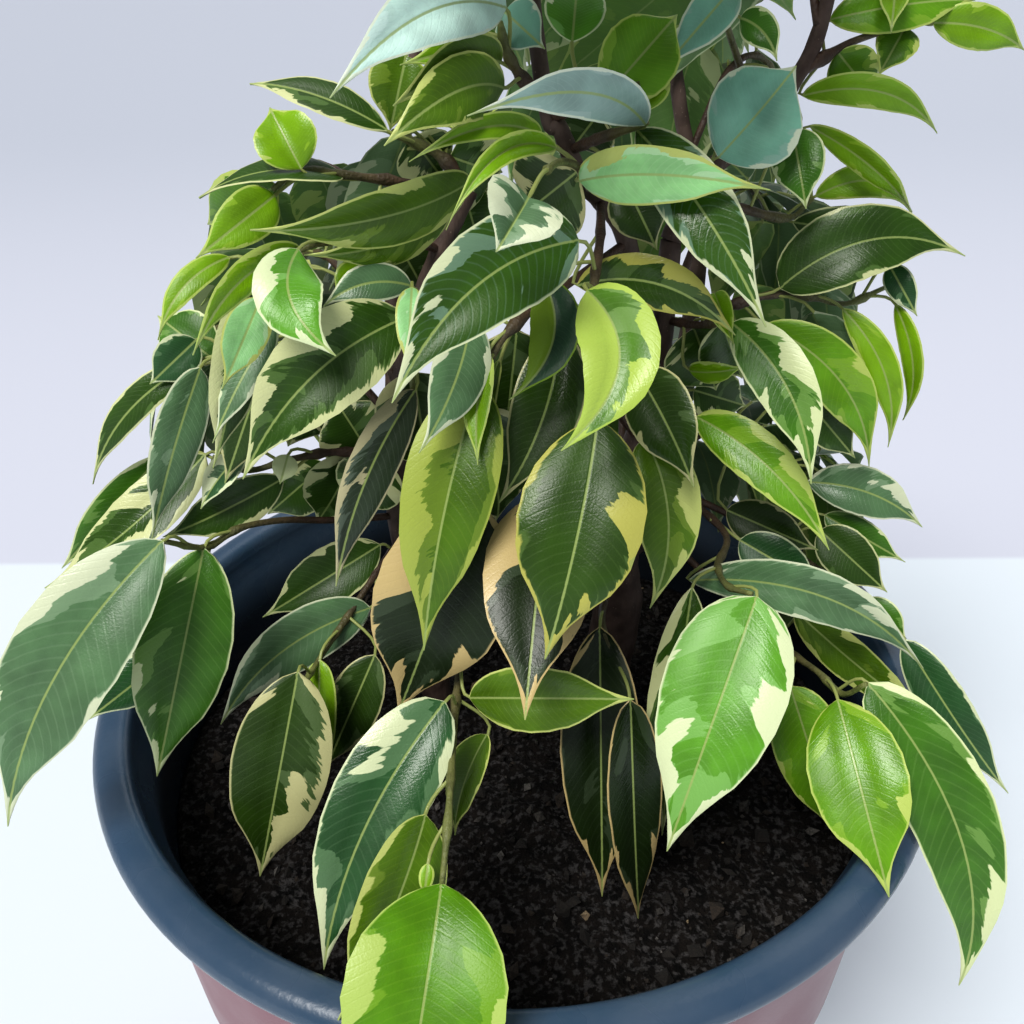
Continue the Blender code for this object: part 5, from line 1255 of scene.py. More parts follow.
def inside_box(points):
    """Whether a leaf's points in millimetres lie inside the CAD model's box."""
    low, high = np.array(cad_box) / MM
    return bool((points > low - BOX_PLAY).all() and (points < high + BOX_PLAY).all())


print("the CAD model's box in millimetres:", (np.array(cad_box) / MM).round(1).tolist())

# %% [markdown]
# A leaf that is read off the photograph moves to and fro along its sight lines and turns about its length.
# A rule's leaf swings about its root and may shrink. Both lists are sorted, so the gentlest move comes
# first and a leaf ends as near its wanted place as there is room.

# %% Moves that are tried, nearest first
BASE_MOVES = (0, 2, -2, 4, -4, 7, -7)
TIP_MOVES = (0, 3, -3, 6, -6, 10, -10, 14, -14)
ROLLS = (0, 12, -12, 25, -25)
SIZES = (1.0, 0.85, 0.7)
YAWS = (0, 18, -18, 36, -36, 55, -55)
PITCHES = (0, 15, -15, 30, -30)


def photo_variants():
    """Small moves along the sight line, nearest first: base, tip, and turn of the blade."""
    moves = [(base, tip, roll) for base in BASE_MOVES for tip in TIP_MOVES for roll in ROLLS]
    return sorted(moves, key=lambda m: abs(m[0]) * 1.5 + abs(m[1]) + abs(m[2]) * 0.3)


def along_sight(point, depth):
    """The point moved along its sight line until its y has changed by depth."""
    line = point - VIEWPOINT
    return point + line * depth / line[1]


def moved_photo_leaf(item, move, path):
    """A photo leaf moved along its sight lines, which keeps its place in the photo."""
    base = along_sight(item.base, move[0])
    tip = along_sight(item.tip, move[1])
    facing = turned(item.facing, unit(tip - base), math.radians(move[2]))
    changed = item._replace(base=base, tip=tip, facing=facing)
    share = root_on(path, changed)
    return changed._replace(share=share, root=point_along(path, share)[0])


def rule_variants():
    """Turns and lengths tried for a rule's leaf, the gentlest first."""
    moves = [(yaw, pitch, size) for size in SIZES for yaw in YAWS for pitch in PITCHES]
    return sorted(moves, key=lambda m: abs(m[0]) + abs(m[1]) + 90 * (1 - m[2]))


def moved_rule_leaf(item, move):
    """A rule's leaf swung about its root and scaled."""
    yaw, pitch, size = move
    level = unit(np.cross(item.tip - item.base, UP) + NUDGE)

    def swung(vector):
        """The vector turned by yaw about the vertical and then by pitch about the level line."""
        return turned(turned(vector, UP, math.radians(yaw)), level, math.radians(pitch))

    base = item.root + swung(item.base - item.root)
    return item._replace(base=base, tip=base + swung(item.tip - item.base) * size,
                         facing=swung(item.facing), wide=item.wide * size)


print("moves tried for a photo leaf:", len(photo_variants()), "for a rule's:", len(rule_variants()))


# %% Settling one leaf
def blade_only(faces):
    """The faces beyond the petiole, whose first ring of points is left out."""
    return [tuple(corner - BLADE_RING for corner in face) for face in faces if min(face) >= BLADE_RING]


def settle(name, choices, neighbours, siblings, must_clear):
    """The first choice that crosses nothing, or else no other node, or else None.

    A leaf that must clear also keeps out of the photograph's way and never takes second best. No leaf
    leaves the CAD model's box, which the CAD's own leaves set, so the test changes none of them.
    """
    kept = None
    for choice in choices:
        verts, faces = blade(choice, LEAF_CLEARANCE)
        if must_clear and not out_of_the_way(verts):
            continue
        if neighbours.touches(name, verts, faces) or not inside_box(blade(choice)[0]):
            continue
        if not siblings.touches(name, verts[BLADE_RING:], blade_only(faces)):
            kept = choice
            break
        kept = kept or (None if must_clear else choice)
    if kept is not None:
        verts, faces = blade(kept)
        neighbours.add(name, verts, faces)
        siblings.add(name + "_leaf", verts, faces)
    return kept


# %% [markdown]
# Deep in the crown hang leaves that the photograph only glimpses between the near ones. The CAD model
# leaves them out to stay light, and without them the wall would show where the photo has green. They are
# settled after all of the CAD's leaves, so none of those moves, and they stay inside the CAD model's box.

# %% Leaves deep in the crown
MORE_HIDDEN = 6
MORE_RULE = 5
DEEP_TONES = ("shade", "dark")
DEEP_CREAM = (0.45, 0.5)
OTHER_CREAM = (0.25, 0.3)
# The stem, the blade's ends as in the first table, width and tone
INNER_LEAVES = (
    ("spray_centre_high", 584, 180, -2, 556, 262, 10, 26, "shade"),
    ("spray_centre_high", 577, 172, -8, 524, 214, 4, 20, "shade"),
    ("spray_left_crown", 450, 156, 10, 502, 172, 16, 22, "dark"),
    ("spray_left_crown", 462, 184, 10, 484, 262, 14, 24, "dark"),
    ("spray_top_middle", 560, 116, 2, 608, 140, 8, 18, "leek"),
    ("spray_centre_high", 592, 176, -2, 618, 262, 12, 22, "shade"),
    ("spray_front_left", 517, 330, -14, 504, 452, 2, 24, "shade"),
    ("spray_front_left", 478, 410, -22, 496, 520, -4, 22, "shade"),
    ("spray_left_curtain", 414, 372, -14, 428, 478, 2, 20, "shade"),
    ("spray_left_middle", 366, 448, 6, 334, 398, 10, 20, "dark"),
    ("spray_left_middle", 352, 456, 4, 316, 522, 2, 20, "dark"),
    ("spray_left_middle", 384, 458, 6, 352, 512, 8, 18, "dark"),
    ("spray_back_low_5", 350, 376, 10, 330, 446, 14, 20, "shade"),
    ("spray_back_low_5", 322, 348, 14, 288, 446, 16, 20, "shade"),
    ("spray_right_fan", 694, 328, 8, 716, 390, 10, 20, "dark"),
    ("spray_right_fan", 722, 322, 0, 742, 378, 8, 16, "dark"),
    ("spray_left_top", 277, 186, -8, 208, 224, 2, 14, "leek"),
    ("spray_left_fan", 214, 360, -4, 158, 316, 4, 14, "green"),
    ("spray_right_tip", 838, 52, 34, 872, 96, 36, 12, "leek"),
    ("spray_top_middle", 600, 112, 16, 572, 148, 20, 14, "shade"),
    ("spray_left_crown", 412, 138, 12, 442, 178, 14, 14, "dark"),
    ("spray_left_upper", 400, 246, 6, 426, 294, 8, 15, "shade"),
    ("spray_top_left", 406, 56, 6, 390, 130, 4, 13, "olive"),
    ("spray_left_middle", 326, 464, 4, 268, 514, 2, 15, "dark"),
    ("spray_left_middle", 160, 456, -2, 62, 568, -12, 10, "green"),
    ("spray_right_middle", 694, 390, 12, 746, 406, 14, 14, "dark"))


def inner_leaf(*place, tone):
    """A leaf of the table above, with more cream where it hangs in the dark."""
    return leaf(*place, tone, *(DEEP_CREAM if tone in DEEP_TONES else OTHER_CREAM))


print("leaves deep in the crown to place:", len(INNER_LEAVES))

# %% Settle every leaf of the CAD, then the rest
FIRST_LEAF, LEAFY_SHARE = 0.22, 0.775


def twig_radii(path):
    """A twig thins a little towards its tip."""
    return np.linspace(TWIG_START, TWIG_END, len(path))


def place_leaf(name, choices, kept, neighbours, siblings, must_clear):
    """Settle a leaf on its stem, and keep it with the stem's others if it found room."""
    found = settle(name, choices, neighbours, siblings[name], must_clear)
    if found is not None:
        kept[name].append(found)


def fill(plan, draw, paths, kept, neighbours, siblings):
    """Add rule leaves to leafy stems, each only where it finds room out of the photograph's way."""
    for name, count, hidden in plan:
        for index in range(count):
            share = FIRST_LEAF + LEAFY_SHARE * (index + 0.5) / count
            wanted = rule_leaf(paths[name], share, 1 if index % 2 else -1, draw, hidden)
            choices = (moved_rule_leaf(wanted, move) for move in rule_variants())
            place_leaf(name, choices, kept, neighbours, siblings, True)


def grow(stems, neighbours):
    """Paths and leaves of every leafy stem, as the CAD has them, and then more leaves inside."""
    barks = [tree for name, tree in zip(neighbours.names, neighbours.trees) if name in WOODS]
    sprays = photo_sprays()
    starts = {item.name: item.stem for item in sprays}
    starts.update({rule.name: rule_stem(rule, stems) for rule in RULE_SPRAYS})
    paths = {name: np.array(trimmed(points, barks, TWIG_START)) for name, points in starts.items()}
    for name, path in paths.items():
        neighbours.add(name, *tube(path, twig_radii(path), TWIG_SIDES))
    kept = {name: [] for name in paths}
    siblings = {name: Neighbours() for name in paths}

    def place_photo_leaf(name, wanted):
        """Settle a leaf that the photograph shows or glimpses."""
        choices = (moved_photo_leaf(wanted, move, paths[name]) for move in photo_variants())
        place_leaf(name, choices, kept, neighbours, siblings, False)

    for item in sprays:
        for wanted in item.leaves:
            place_photo_leaf(item.name, wanted)
    plan = [(rule.name, rule.leaves, False) for rule in RULE_SPRAYS]
    plan += [(item.name, item.fill, True) for item in sprays]
    fill(plan, random.Random(SEED), paths, kept, neighbours, siblings)
    of_cad = sum(len(found) for found in kept.values())
    for name, *place, tone in INNER_LEAVES:
        place_photo_leaf(name, inner_leaf(*place, tone=tone))
    plan = [(item.name, MORE_HIDDEN, True) for item in sprays]
    plan += [(rule.name, MORE_RULE, False) for rule in RULE_SPRAYS]
    fill(plan, random.Random(SEED + 1), paths, kept, neighbours, siblings)
    return starts, paths, kept, of_cad


def from_cad(name):
    """Points in millimetres and faces of a CAD node."""
    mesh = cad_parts[name].data
    points = np.empty(len(mesh.vertices) * 3, dtype=np.float32)
    mesh.vertices.foreach_get("co", points)
    return points.reshape(-1, 3).astype(float) / MM, [tuple(face.vertices) for face in mesh.polygons]


neighbours = Neighbours()
for name in ("pot", "liner", "soil", *WOODS):
    neighbours.add(name, *from_cad(name))
starts, paths, leaves, of_cad = grow(stems, neighbours)
total = sum(len(found) for found in leaves.values())
print("leaves in the CAD:", of_cad, "with those added:", total)


# %% Check the leaves against the CAD solids
TIP_LIMIT = 0.1


def tip_errors():
    """How far each settled tip lies from the nearest point of its CAD node, in millimetres."""
    return np.array([np.linalg.norm(from_cad(name)[0] - item.tip, axis=1).min()
                     for name, found in leaves.items() for item in found])


tips_on = int((tip_errors() < TIP_LIMIT).sum())
print("tips within", TIP_LIMIT, "mm of the CAD:", tips_on, "of", of_cad)

# %% [markdown]
# ## A leaf's surface
#
# A weeping fig's leaf is oval, starts round and ends in a long drip tip. The skin is one closed tube: its
# rings start as a thin round petiole on the twig and widen into the blade, with an upper and a lower side
# that meet at the rim. A fold along the midrib, a slight droop and wavy margins make each leaf its own. A
# flat sheet with a thickness would be easier, but its rim would be a square edge that catches no light.

# %% Outline of a leaf
CROWDING = 1.25
# Power of the oval towards its tip, and the share of the blade where the drip tip starts and its length
TIP_POWER = 1.05
DRIP_STARTS, DRIP_LENGTH = 0.62, 0.3


def columns(count):
    """Places across a leaf from -1 to 1, closer together at the rims."""
    even = np.linspace(-1, 1, count)
    return np.sin(even * CROWDING) / math.sin(CROWDING)


def oval(t, start, drip):
    """Half width as a share: t^start (1-t)^1.05 scaled to a peak of one, and pinched to a drip tip."""
    peak = start / (start + TIP_POWER)
    share = t ** start * (1 - t) ** TIP_POWER / (peak ** start * (1 - peak) ** TIP_POWER)
    pinch = np.clip((t - DRIP_STARTS) / DRIP_LENGTH, 0, 1)
    return share * (1 - drip * pinch * pinch * (3 - 2 * pinch))


def ring_places(count):
    """Across and up coordinates of one closed ring: the upper side to the right, then the lower back."""
    upper = columns(count)
    across = np.concatenate([upper, upper[-2:0:-1]])
    top = np.concatenate([np.ones(count), -np.ones(count - 2)])
    top[[0, count - 1]] = 0.0
    return across, top


print("half width of an oval blade along it:", oval(np.linspace(0, 1, 6), 0.6, 0.5).round(2).tolist())

# %% Petiole rings
PETIOLE_SHARE = 0.85
# A petiole's place along the leaf is below zero, so that the finish knows it
STALK_SHIFT = 1.001


def sideways_of(along, facing):
    """Unit directions to the side of a leaf, across its length and its facing."""
    side = np.cross(along, facing)
    return side / np.linalg.norm(side, axis=1, keepdims=True)


def petiole_rings(item, across, top, stations):
    """A bent petiole from the middle of the twig to the blade: a cubic curve with round rings."""
    start = unit(midrib(item, 0.05) - item.base)
    reach = np.linalg.norm(item.base - item.root)
    away = unit(unit(item.base - item.root) + 0.4 * UP)
    first, second = item.root + away * reach * 0.35, item.base - start * reach * 0.35
    u = np.linspace(0, 1, stations, endpoint=False)[:, None]
    path = (item.root * (1 - u) ** 3 + 3 * first * u * (1 - u) ** 2 + 3 * second * u * u * (1 - u)
            + item.base * u ** 3)
    along = tangents(np.vstack([path, item.base]))[:-1]
    side = sideways_of(along, item.facing + 0.01 * UP)
    above = np.cross(side, along)
    round_up = top * np.sqrt(np.clip(1 - across ** 2, 0, 1))
    ring = side[:, None] * across[None, :, None] + above[:, None] * round_up[None, :, None]
    rings = path[:, None] + PETIOLE_RADIUS * PETIOLE_SHARE * ring
    return rings, np.repeat(u - STALK_SHIFT, len(across), axis=1)


# %% Blade rings
RIM_THIN = 0.10
BLADE_THIN = 0.24
RIB_RADIUS = 0.42
RIB_REACH = 0.6
TIP_HALF = 0.12
# Waves of a blade's margin and nicks in its rim, counted from base to tip
WAVES = (2.3, 4.1)
NICKS = 9
# How far round half a cosine wave the stations run, which crowds them towards the blade's ends
STATION_ARC = 0.93 * math.pi


def blade_rings(item, across, top, stations, draw):
    """The blade: midrib point + side * S * half + above * (fold * |S| - droop * S^2 + waves)."""
    even = np.linspace(0, 1, stations)
    t = 0.5 * (1 - np.cos(even * STATION_ARC)) / (1 - math.cos(STATION_ARC)) + 0.5 * even
    rib = np.array([midrib(item, value) for value in t])
    along = tangents(rib)
    side = sideways_of(along, item.facing)
    above = np.cross(side, along)
    twist = math.radians(draw.uniform(-12, 12)) * (t - 0.35)
    side, above = (side * np.cos(twist)[:, None] + above * np.sin(twist)[:, None],
                   above * np.cos(twist)[:, None] - side * np.sin(twist)[:, None])
    half = np.hypot(item.wide / 2 * oval(t, draw.uniform(0.52, 0.72), draw.uniform(0.35, 0.6)),
                    0.8 * PETIOLE_RADIUS * (1 - t))
    half[-1] = TIP_HALF
    size = np.abs(across)
    fold = math.sin(math.radians(item.fold))
    droop = draw.uniform(0.02, 0.16)
    waves = sum(draw.uniform(0.01, 0.03) * np.sin(2 * math.pi * (turns * t[:, None] + draw.random())
                + np.sign(across) * draw.uniform(0.6, 2.2)) for turns in WAVES)
    envelope = np.clip(np.sin(math.pi * t), 0, 1)[:, None]
    lift = half[:, None] * (fold * size + 0.06 * np.sin(math.pi * size) - droop * size ** 2
                            + waves * size ** 2 * envelope)
    rib_up = RIB_RADIUS * (1 - 0.75 * t)[:, None] * np.exp(-(across * half[:, None] / RIB_REACH) ** 2)
    thick = RIM_THIN / 2 + (BLADE_THIN / 2) * (1 - size ** 2) + rib_up * np.where(top > 0, 0.25, 1.0)
    nick = 1 + 0.012 * np.sin(2 * math.pi * (NICKS * t[:, None] + draw.random())) * size ** 8 * envelope
    rings = (rib[:, None] + side[:, None] * (across * half[:, None] * nick
             * math.cos(math.radians(item.fold)))[..., None]
             + above[:, None] * (lift + top * thick)[..., None])
    return rings, np.repeat(t[:, None], len(across), axis=1), half


# %% Whole leaf
# A leaf's detail: points across its upper side, stations of its blade and stations of its petiole
Detail = namedtuple("Detail", "columns stations stalk")
FINE = Detail(9, 22, 5)
PLAIN = Detail(5, 9, 3)


def leaf_surface(item, detail, draw):
    """Points, faces, places and lower-side marks of one leaf with its petiole."""
    across, top = ring_places(detail.columns)
    petiole, petiole_t = petiole_rings(item, across, top, detail.stalk)
    blade_part, blade_t, half = blade_rings(item, across, top, detail.stations, draw)
    points = np.concatenate([petiole, blade_part]).reshape(-1, 3)
    along = np.concatenate([petiole_t, blade_t]).ravel()
    rings, sides = detail.stations + detail.stalk, len(across)
    widths = np.concatenate([np.full(detail.stalk, PETIOLE_RADIUS), half])
    place = np.stack([np.tile(across, rings), along, np.repeat(widths, sides)], axis=1)
    lower = np.tile(np.arange(sides) >= detail.columns - 1, rings - 1)
    return points, closed_rings(rings, sides), place, np.concatenate([lower, [False, False]]).astype(float)


print("faces of a near leaf:", len(closed_rings(FINE.stations + FINE.stalk, 2 * FINE.columns - 2)))

# %% [markdown]
# ## Leaf finish
#
# The cream margin of a variegated fig isn't a smooth band. It breaks into jags that follow the fine side
# veins, because the pale tissue grows in strips between them. So the noise that shapes it is stretched
# along a vein coordinate, which runs from the midrib slantwise to the rim. The same coordinate draws the
# side veins. Tone, cream and seed are stored on each leaf's faces, so one material serves every leaf. The
# group for the margin is placed twice: once for the cream, and once wider for the grey-green beside it.

# %% Vein and margin groups
VEIN_COUNT = 24.0
VEIN_BOW, VEIN_SLANT = 1.4, 0.15
VEIN_LINE = (0.34, 0.5)
# The right half's pattern is the left half's, shifted by this much along the noise
SIDE_SHIFT = 7.3
# Noise stretched along the veins: its scale along the leaf, its scale across, and its detail
BROAD_LOBES = (5.0, 0.7, 1.0)
FINE_JAGS = (42.0, 2.4, 4.0)
LOBE_RANGE = (0.47, 0.66)
MOST_SWING = 2.2
THIN_BAND, THINNEST_LEAF = 0.42, 0.6
TIP_RANGE = (0.84, 1.0)


def vein_group():
    """Side veins: the vein coordinate is along minus a share of across, and fine lines follow it."""
    tree, entry = new_group("side_veins", ("Place", "Veins"), ("Slanted", "Line"))
    parts = split(tree, entry["Place"])
    bow = calc(tree, "POWER", calc(tree, "ABSOLUTE", parts[0]), VEIN_BOW)
    slanted = calc(tree, "SUBTRACT", parts[1], calc(tree, "MULTIPLY", bow, VEIN_SLANT))
    phase = calc(tree, "FRACT", calc(tree, "MULTIPLY", slanted, entry["Veins"]))
    off = calc(tree, "ABSOLUTE", calc(tree, "SUBTRACT", phase, 0.5))
    node(tree, "NodeGroupOutput", {"Slanted": slanted, "Line": ramp(tree, off, *VEIN_LINE)})
    return tree


def vein_noise(tree, slanted, shifted, size, stretch):
    """Noise that is stretched along the side veins."""
    along, across, detail = stretch
    vector = node(tree, "ShaderNodeCombineXYZ", {0: calc(tree, "MULTIPLY", slanted, along), 1: shifted,
                                                 2: calc(tree, "MULTIPLY", size, across)})
    return noise(tree, vector.outputs[0], 1.0, detail)


def margin_group():
    """Pale margin: how much of a point's place lies within a ragged band along the rim.

    The band is as wide as the cream wanted on that half of the leaf, times a swing that broad lobes and
    fine jags make, but never thinner than a line along the rim, and it widens over the drip tip.
    """
    tree, entry = new_group("ragged_margin", ("Place", "Slanted", "Left", "Right", "Seed", "Spread",
                                              "Softness"), ("Share",))
    parts = split(tree, entry["Place"])
    size = calc(tree, "ABSOLUTE", parts[0])
    on_left = calc(tree, "GREATER_THAN", parts[0], 0.0)
    wanted = node(tree, "ShaderNodeMix", {0: on_left, 2: entry["Right"], 3: entry["Left"]}).outputs[0]
    shifted = calc(tree, "ADD", calc(tree, "MULTIPLY", on_left, SIDE_SHIFT), entry["Seed"])
    lobes, jags = (vein_noise(tree, entry["Slanted"], shifted, size, stretch)
                   for stretch in (BROAD_LOBES, FINE_JAGS))
    calm = calc(tree, "MULTIPLY_ADD", wanted, 1.7, -0.75)
    swing = calc(tree, "ADD", ramp(tree, lobes, *LOBE_RANGE, calm, MOST_SWING),
                 calc(tree, "MULTIPLY_ADD", jags, 1.7, -0.85))
    band = calc(tree, "MULTIPLY", calc(tree, "MULTIPLY", wanted, entry["Spread"]), swing)
    rim = calc(tree, "DIVIDE", THIN_BAND, calc(tree, "MAXIMUM", parts[2], THINNEST_LEAF))
    band = calc(tree, "MAXIMUM", band, rim)
    band = calc(tree, "ADD", band, ramp(tree, parts[1], *TIP_RANGE, 0.0, 0.9))
    inside = calc(tree, "SUBTRACT", band, calc(tree, "SUBTRACT", 1.0, size))
    share = calc(tree, "ADD", calc(tree, "DIVIDE", inside, calc(tree, "MAXIMUM", entry["Softness"], 0.001)),
                 0.5, clamp=True)
    node(tree, "NodeGroupOutput", {"Share": share})
    return tree


SIDE_VEINS, MARGIN = vein_group(), margin_group()
print("nodes for the veins and the margin:", len(SIDE_VEINS.nodes), len(MARGIN.nodes))

# %% Leaf material
RIB_GREEN = colour(0.33, 0.42, 0.13)
UNDERSIDE_GREEN = colour(0.16, 0.26, 0.10)
STALK_GREEN = colour(0.30, 0.34, 0.10)
CREAM_BAND = {"Spread": 0.62, "Softness": 0.035}
GREY_BAND = {"Spread": 1.15, "Softness": 0.06}
GREY_SHIFT = 0.35


def leaf_finish():
    """Green centre, grey-green patches, cream margin, pale midrib, side veins and a waxy gloss."""
    material, tree, shader = finish("leaf", 0.3)
    place, border = attribute(tree, "place"), attribute(tree, "border")
    parts, cream = split(tree, place), split(tree, border)
    under = attribute(tree, "under", "Fac")
    veins = node(tree, "ShaderNodeGroup", {"Place": place, "Veins": VEIN_COUNT},
                 node_tree=SIDE_VEINS).outputs
    edge = {"Place": place, "Slanted": veins["Slanted"], "Left": cream[0], "Right": cream[1],
            "Seed": cream[2]}
    pale = node(tree, "ShaderNodeGroup", {**edge, **CREAM_BAND}, node_tree=MARGIN).outputs[0]
    edge["Seed"] = calc(tree, "ADD", cream[2], GREY_SHIFT)
    grey = node(tree, "ShaderNodeGroup", {**edge, **GREY_BAND}, node_tree=MARGIN).outputs[0]
    tone = mottle(tree, 110.0, 0.82, 1.2, 4.0)
    centre = mix(tree, 1.0, attribute(tree, "centre"), tone, "MULTIPLY")
    surface = mix(tree, calc(tree, "MULTIPLY", grey, 0.85), centre, attribute(tree, "patch"))
    lines = calc(tree, "MULTIPLY", veins["Line"], 0.2)
    surface = mix(tree, lines, surface, attribute(tree, "patch"))
    surface = mix(tree, pale, surface, attribute(tree, "pale"))
    off = calc(tree, "MULTIPLY", calc(tree, "ABSOLUTE", parts[0]), parts[2])
    rib = ramp(tree, off, 0.12, 0.34, 0.8, 0.0)
    surface = mix(tree, rib, surface, RIB_GREEN)
    surface = mix(tree, under, surface, mix(tree, 0.45, surface, UNDERSIDE_GREEN))
    surface = mix(tree, calc(tree, "LESS_THAN", parts[1], 0.0), surface, STALK_GREEN)
    tree.links.new(surface, shader.inputs["Base Color"])
    gloss = calc(tree, "MULTIPLY_ADD", under, 0.22, mottle(tree, 48.0, 0.24, 0.48, 1.5))
    tree.links.new(gloss, shader.inputs["Roughness"])
    shader.inputs["Specular IOR Level"].default_value = 0.4
    relief = calc(tree, "ADD", calc(tree, "MULTIPLY", veins["Line"], -0.2),
                  calc(tree, "MULTIPLY", ramp(tree, off, 0.1, 0.5, 1.0, 0.0), -0.5))
    relief = calc(tree, "ADD", relief, mottle(tree, 2200.0, 0.0, 0.22, 2.0))
    bumped(tree, shader, relief, 0.35, 0.00025)
    return material


leaf_skin = leaf_finish()
print("leaf material nodes:", len(leaf_skin.node_tree.nodes))

# %% [markdown]
# ## Twigs and their leaves
#
# A young twig is reddish brown where it leaves the wood and green towards its tip, and it swells a little
# where each leaf grows. The twig is one piece and its leaves are another, because bark and leaf are two
# materials. The leaves replace the CAD's solid of the whole leafy stem. A leaf of the tables has its look
# written there, and one that follows the rule draws its own.

# %% Twigs
TWIG_ROUND = 8
TWIG_SHARE = 0.8
TWIG_BROWN = colour(0.060, 0.030, 0.018)
TWIG_GREEN = colour(0.16, 0.18, 0.05)
BULGE, BULGE_REACH = 0.35, 1.6


def twig_finish():
    """Young twigs: reddish brown near the wood and green towards their tips."""
    material, tree, shader = finish("twig", 0.5)
    along = attribute(tree, "along", "Fac")
    base = mix(tree, ramp(tree, along, 0.25, 1.0), TWIG_BROWN, TWIG_GREEN)
    tree.links.new(mix(tree, 1.0, base, mottle(tree, 300.0, 0.7, 1.25), "MULTIPLY"),
                   shader.inputs["Base Color"])
    bumped(tree, shader, mottle(tree, 1500.0, 0.0, 1.0, 3.0), 0.4, 0.0004)
    return material


twig_skin = twig_finish()
print("twig material nodes:", len(twig_skin.node_tree.nodes))


def make_twig(name):
    """A smooth twig with a slight bulge where each leaf grows."""
    path = smooth(starts[name], 6)
    radii = TWIG_SHARE * np.linspace(TWIG_START, TWIG_END * TWIG_SHARE, len(path))
    for item in leaves[name]:
        near = np.linalg.norm(path - item.root, axis=1)
        radii += BULGE * np.exp(-(near / BULGE_REACH) ** 2)
    piece = new_piece(name + "_twig", *round_tube(path, radii, TWIG_ROUND), twig_skin)
    give(piece.data, "along", np.repeat(np.linspace(0, 1, len(path)), TWIG_ROUND), "POINT")
    return piece


# %% Leaves
LOOK_SEED = 23
RULE_TONES = ("dark", "green", "grey", "green", "leek", "olive", "grey", "fresh", "grey")
RULE_CREAM = (0.05, 0.65)
JAG_SEEDS = (0, 90)
LEAF_EDGE = 75


def rule_look(draw):
    """A tone and two amounts of cream for a leaf that no row of the table describes."""
    return draw.choice(RULE_TONES), draw.uniform(*RULE_CREAM), draw.uniform(*RULE_CREAM), None


def make_leaves(name, draw):
    """All leaves of one leafy stem as one piece, with each leaf's look stored on its faces."""
    shapes, places, under, looks = [], [], [], []
    for item in leaves[name]:
        points, faces, place, lower = leaf_surface(item, FINE if item.look else PLAIN, draw)
        shapes.append((points, faces))
        places.append(place)
        under.append(lower)
        tone, left, right, jags = item.look or rule_look(draw)
        jags = draw.uniform(*JAG_SEEDS) if jags is None else jags
        row = np.array([*TONES[tone], (left, right, jags)], dtype=float)
        looks.append(np.repeat(row[None], len(faces), axis=0))
    piece = new_piece(name + "_leaves", *joined(shapes), leaf_skin, sharp=LEAF_EDGE)
    give(piece.data, "place", np.vstack(places), "POINT")
    give(piece.data, "under", np.concatenate(under))
    for index, label in enumerate(("centre", "patch", "pale", "border")):
        give(piece.data, label, np.concatenate(looks)[:, index])
    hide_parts(name)
    return piece


look_draw = random.Random(LOOK_SEED)
faces_made = 0
for name in paths:
    twig, foliage = make_twig(name), make_leaves(name, look_draw)
    faces_made += len(twig.data.polygons) + len(foliage.data.polygons)
print("leafy stems:", len(paths), "faces:", faces_made)

# %% [markdown]
# ## Table, wall and light
#
# The pot stands on a white surface in front of a pale lavender wall. Both are one large floor whose colour
# changes far behind the pot, so the plant can be seen from any side. The light is soft and comes from the
# front left above, as from a window, with a weaker one behind to brighten the leaf edges. The view's gamma
# darkens the middle tones a little and leaves white as it is, as a telephone's picture does.

# %% Floor
FLOOR_HALF = 12.0
FLOOR_DROP = 0.0005
WALL_STARTS = 0.306
WALL_BLUR = 0.003
WALL_TILT = 0.02
WALL_FAR = 1.6
TABLE_WHITE = colour(0.68, 0.74, 0.80)
WALL_NEAR_PAINT = colour(0.575, 0.595, 0.685)
# Painted shade: the wall's colour farther back, darker than its paint near the pot
WALL_FAR_SHADED = colour(0.46, 0.49, 0.57)


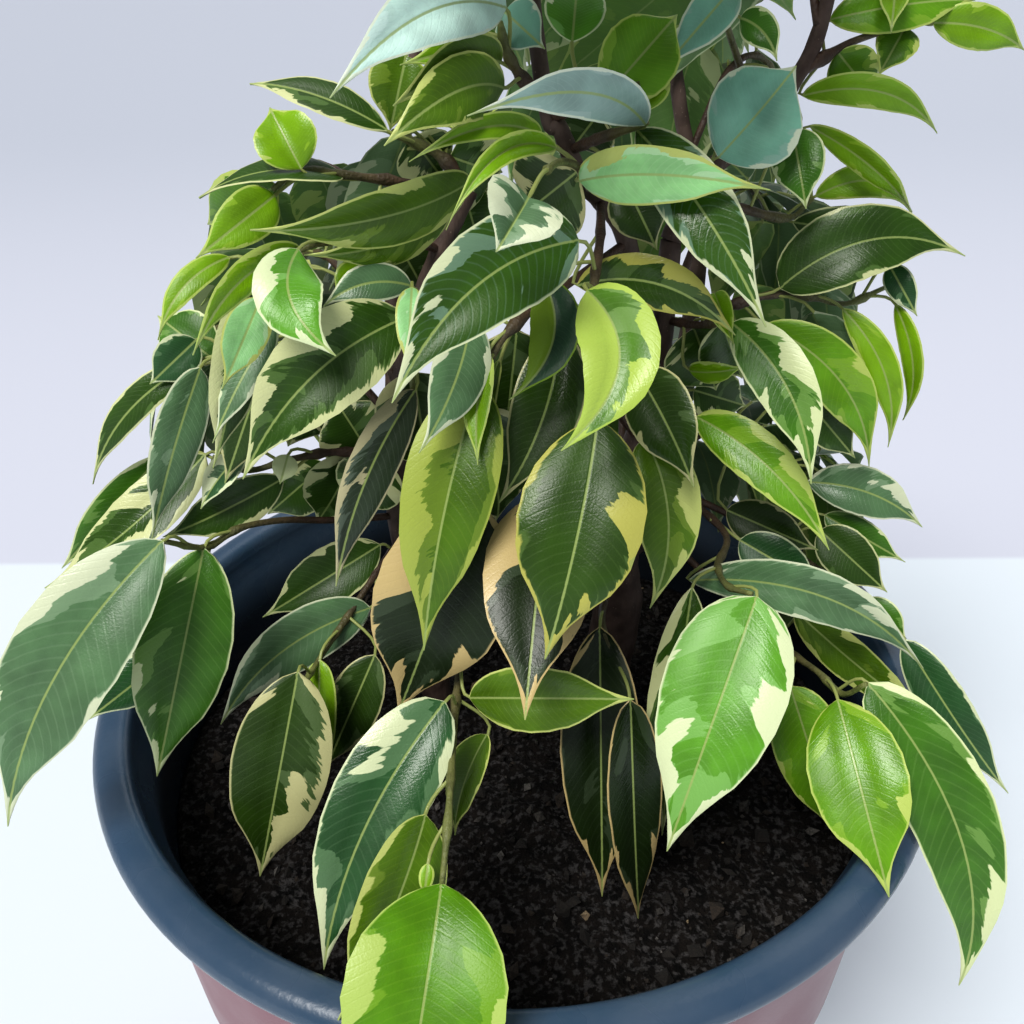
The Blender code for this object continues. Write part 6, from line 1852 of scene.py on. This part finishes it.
def floor_finish():
    """White near the pot and pale lavender beyond the place where the wall starts in the photo."""
    material, tree, shader = finish("floor", 0.7)
    parts = split(tree, object_place(tree))
    away = calc(tree, "MULTIPLY_ADD", parts[0], WALL_TILT, parts[1])
    wall = ramp(tree, away, WALL_STARTS - WALL_BLUR, WALL_STARTS + WALL_BLUR)
    # Painted shade: the wall darkens from where it starts to 1.6 m farther back
    paint_with_shade = mix(tree, ramp(tree, away, WALL_STARTS, WALL_FAR), WALL_NEAR_PAINT, WALL_FAR_SHADED)
    tree.links.new(mix(tree, wall, TABLE_WHITE, paint_with_shade), shader.inputs["Base Color"])
    return material


floor_mesh = bpy.data.meshes.new("floor")
corners = [(x * FLOOR_HALF, y * FLOOR_HALF, -FLOOR_DROP) for x, y in ((-1, -1), (1, -1), (1, 1), (-1, 1))]
floor_mesh.from_pydata(corners, [], [(0, 1, 2, 3)])
floor_mesh.materials.append(floor_finish())
floor = bpy.data.objects.new("floor", floor_mesh)
bpy.context.scene.collection.objects.link(floor)
print("floor reaches", FLOOR_HALF, "m each way and its wall starts at", WALL_STARTS, "m")

# %% Lights
SKY_TINT = colour(0.88, 0.92, 1.0)
SKY_STRENGTH = 0.31
VIEW_GAMMA = 0.92


def facing_from(place, aim):
    """A matrix that stands a light at a place and points it at its aim."""
    back = unit(np.array(place) - np.array(aim))
    right = unit(np.cross(UP, back))
    turn = np.eye(4)
    turn[:3, 0], turn[:3, 1], turn[:3, 2], turn[:3, 3] = right, np.cross(back, right), back, place
    return Matrix(turn.tolist())


def sun_light(name, from_side, power, spread, tint):
    """Even soft light from a direction, as a large far window gives it."""
    data = bpy.data.lights.new(name, "SUN")
    data.energy, data.angle, data.color = power, math.radians(spread), tint
    made = bpy.data.objects.new(name, data)
    bpy.context.scene.collection.objects.link(made)
    made.matrix_world = facing_from(from_side, (0, 0, 0))
    return made


world = bpy.data.worlds.new("room")
world.use_nodes = True
sky = world.node_tree.nodes["Background"]
sky.inputs["Color"].default_value = SKY_TINT
sky.inputs["Strength"].default_value = SKY_STRENGTH
bpy.context.scene.world = world
bpy.context.scene.view_settings.view_transform = "Standard"
bpy.context.scene.view_settings.gamma = VIEW_GAMMA
window = sun_light("window", (-0.55, -0.75, 1.5), 3.5, 28.0, (1.0, 0.98, 0.94))
room_back = sun_light("room_back", (0.5, 1.2, 1.1), 0.7, 60.0, (0.93, 0.97, 1.0))
print("strength of the window:", window.data.energy, "of the room:", round(room_back.data.energy, 2))
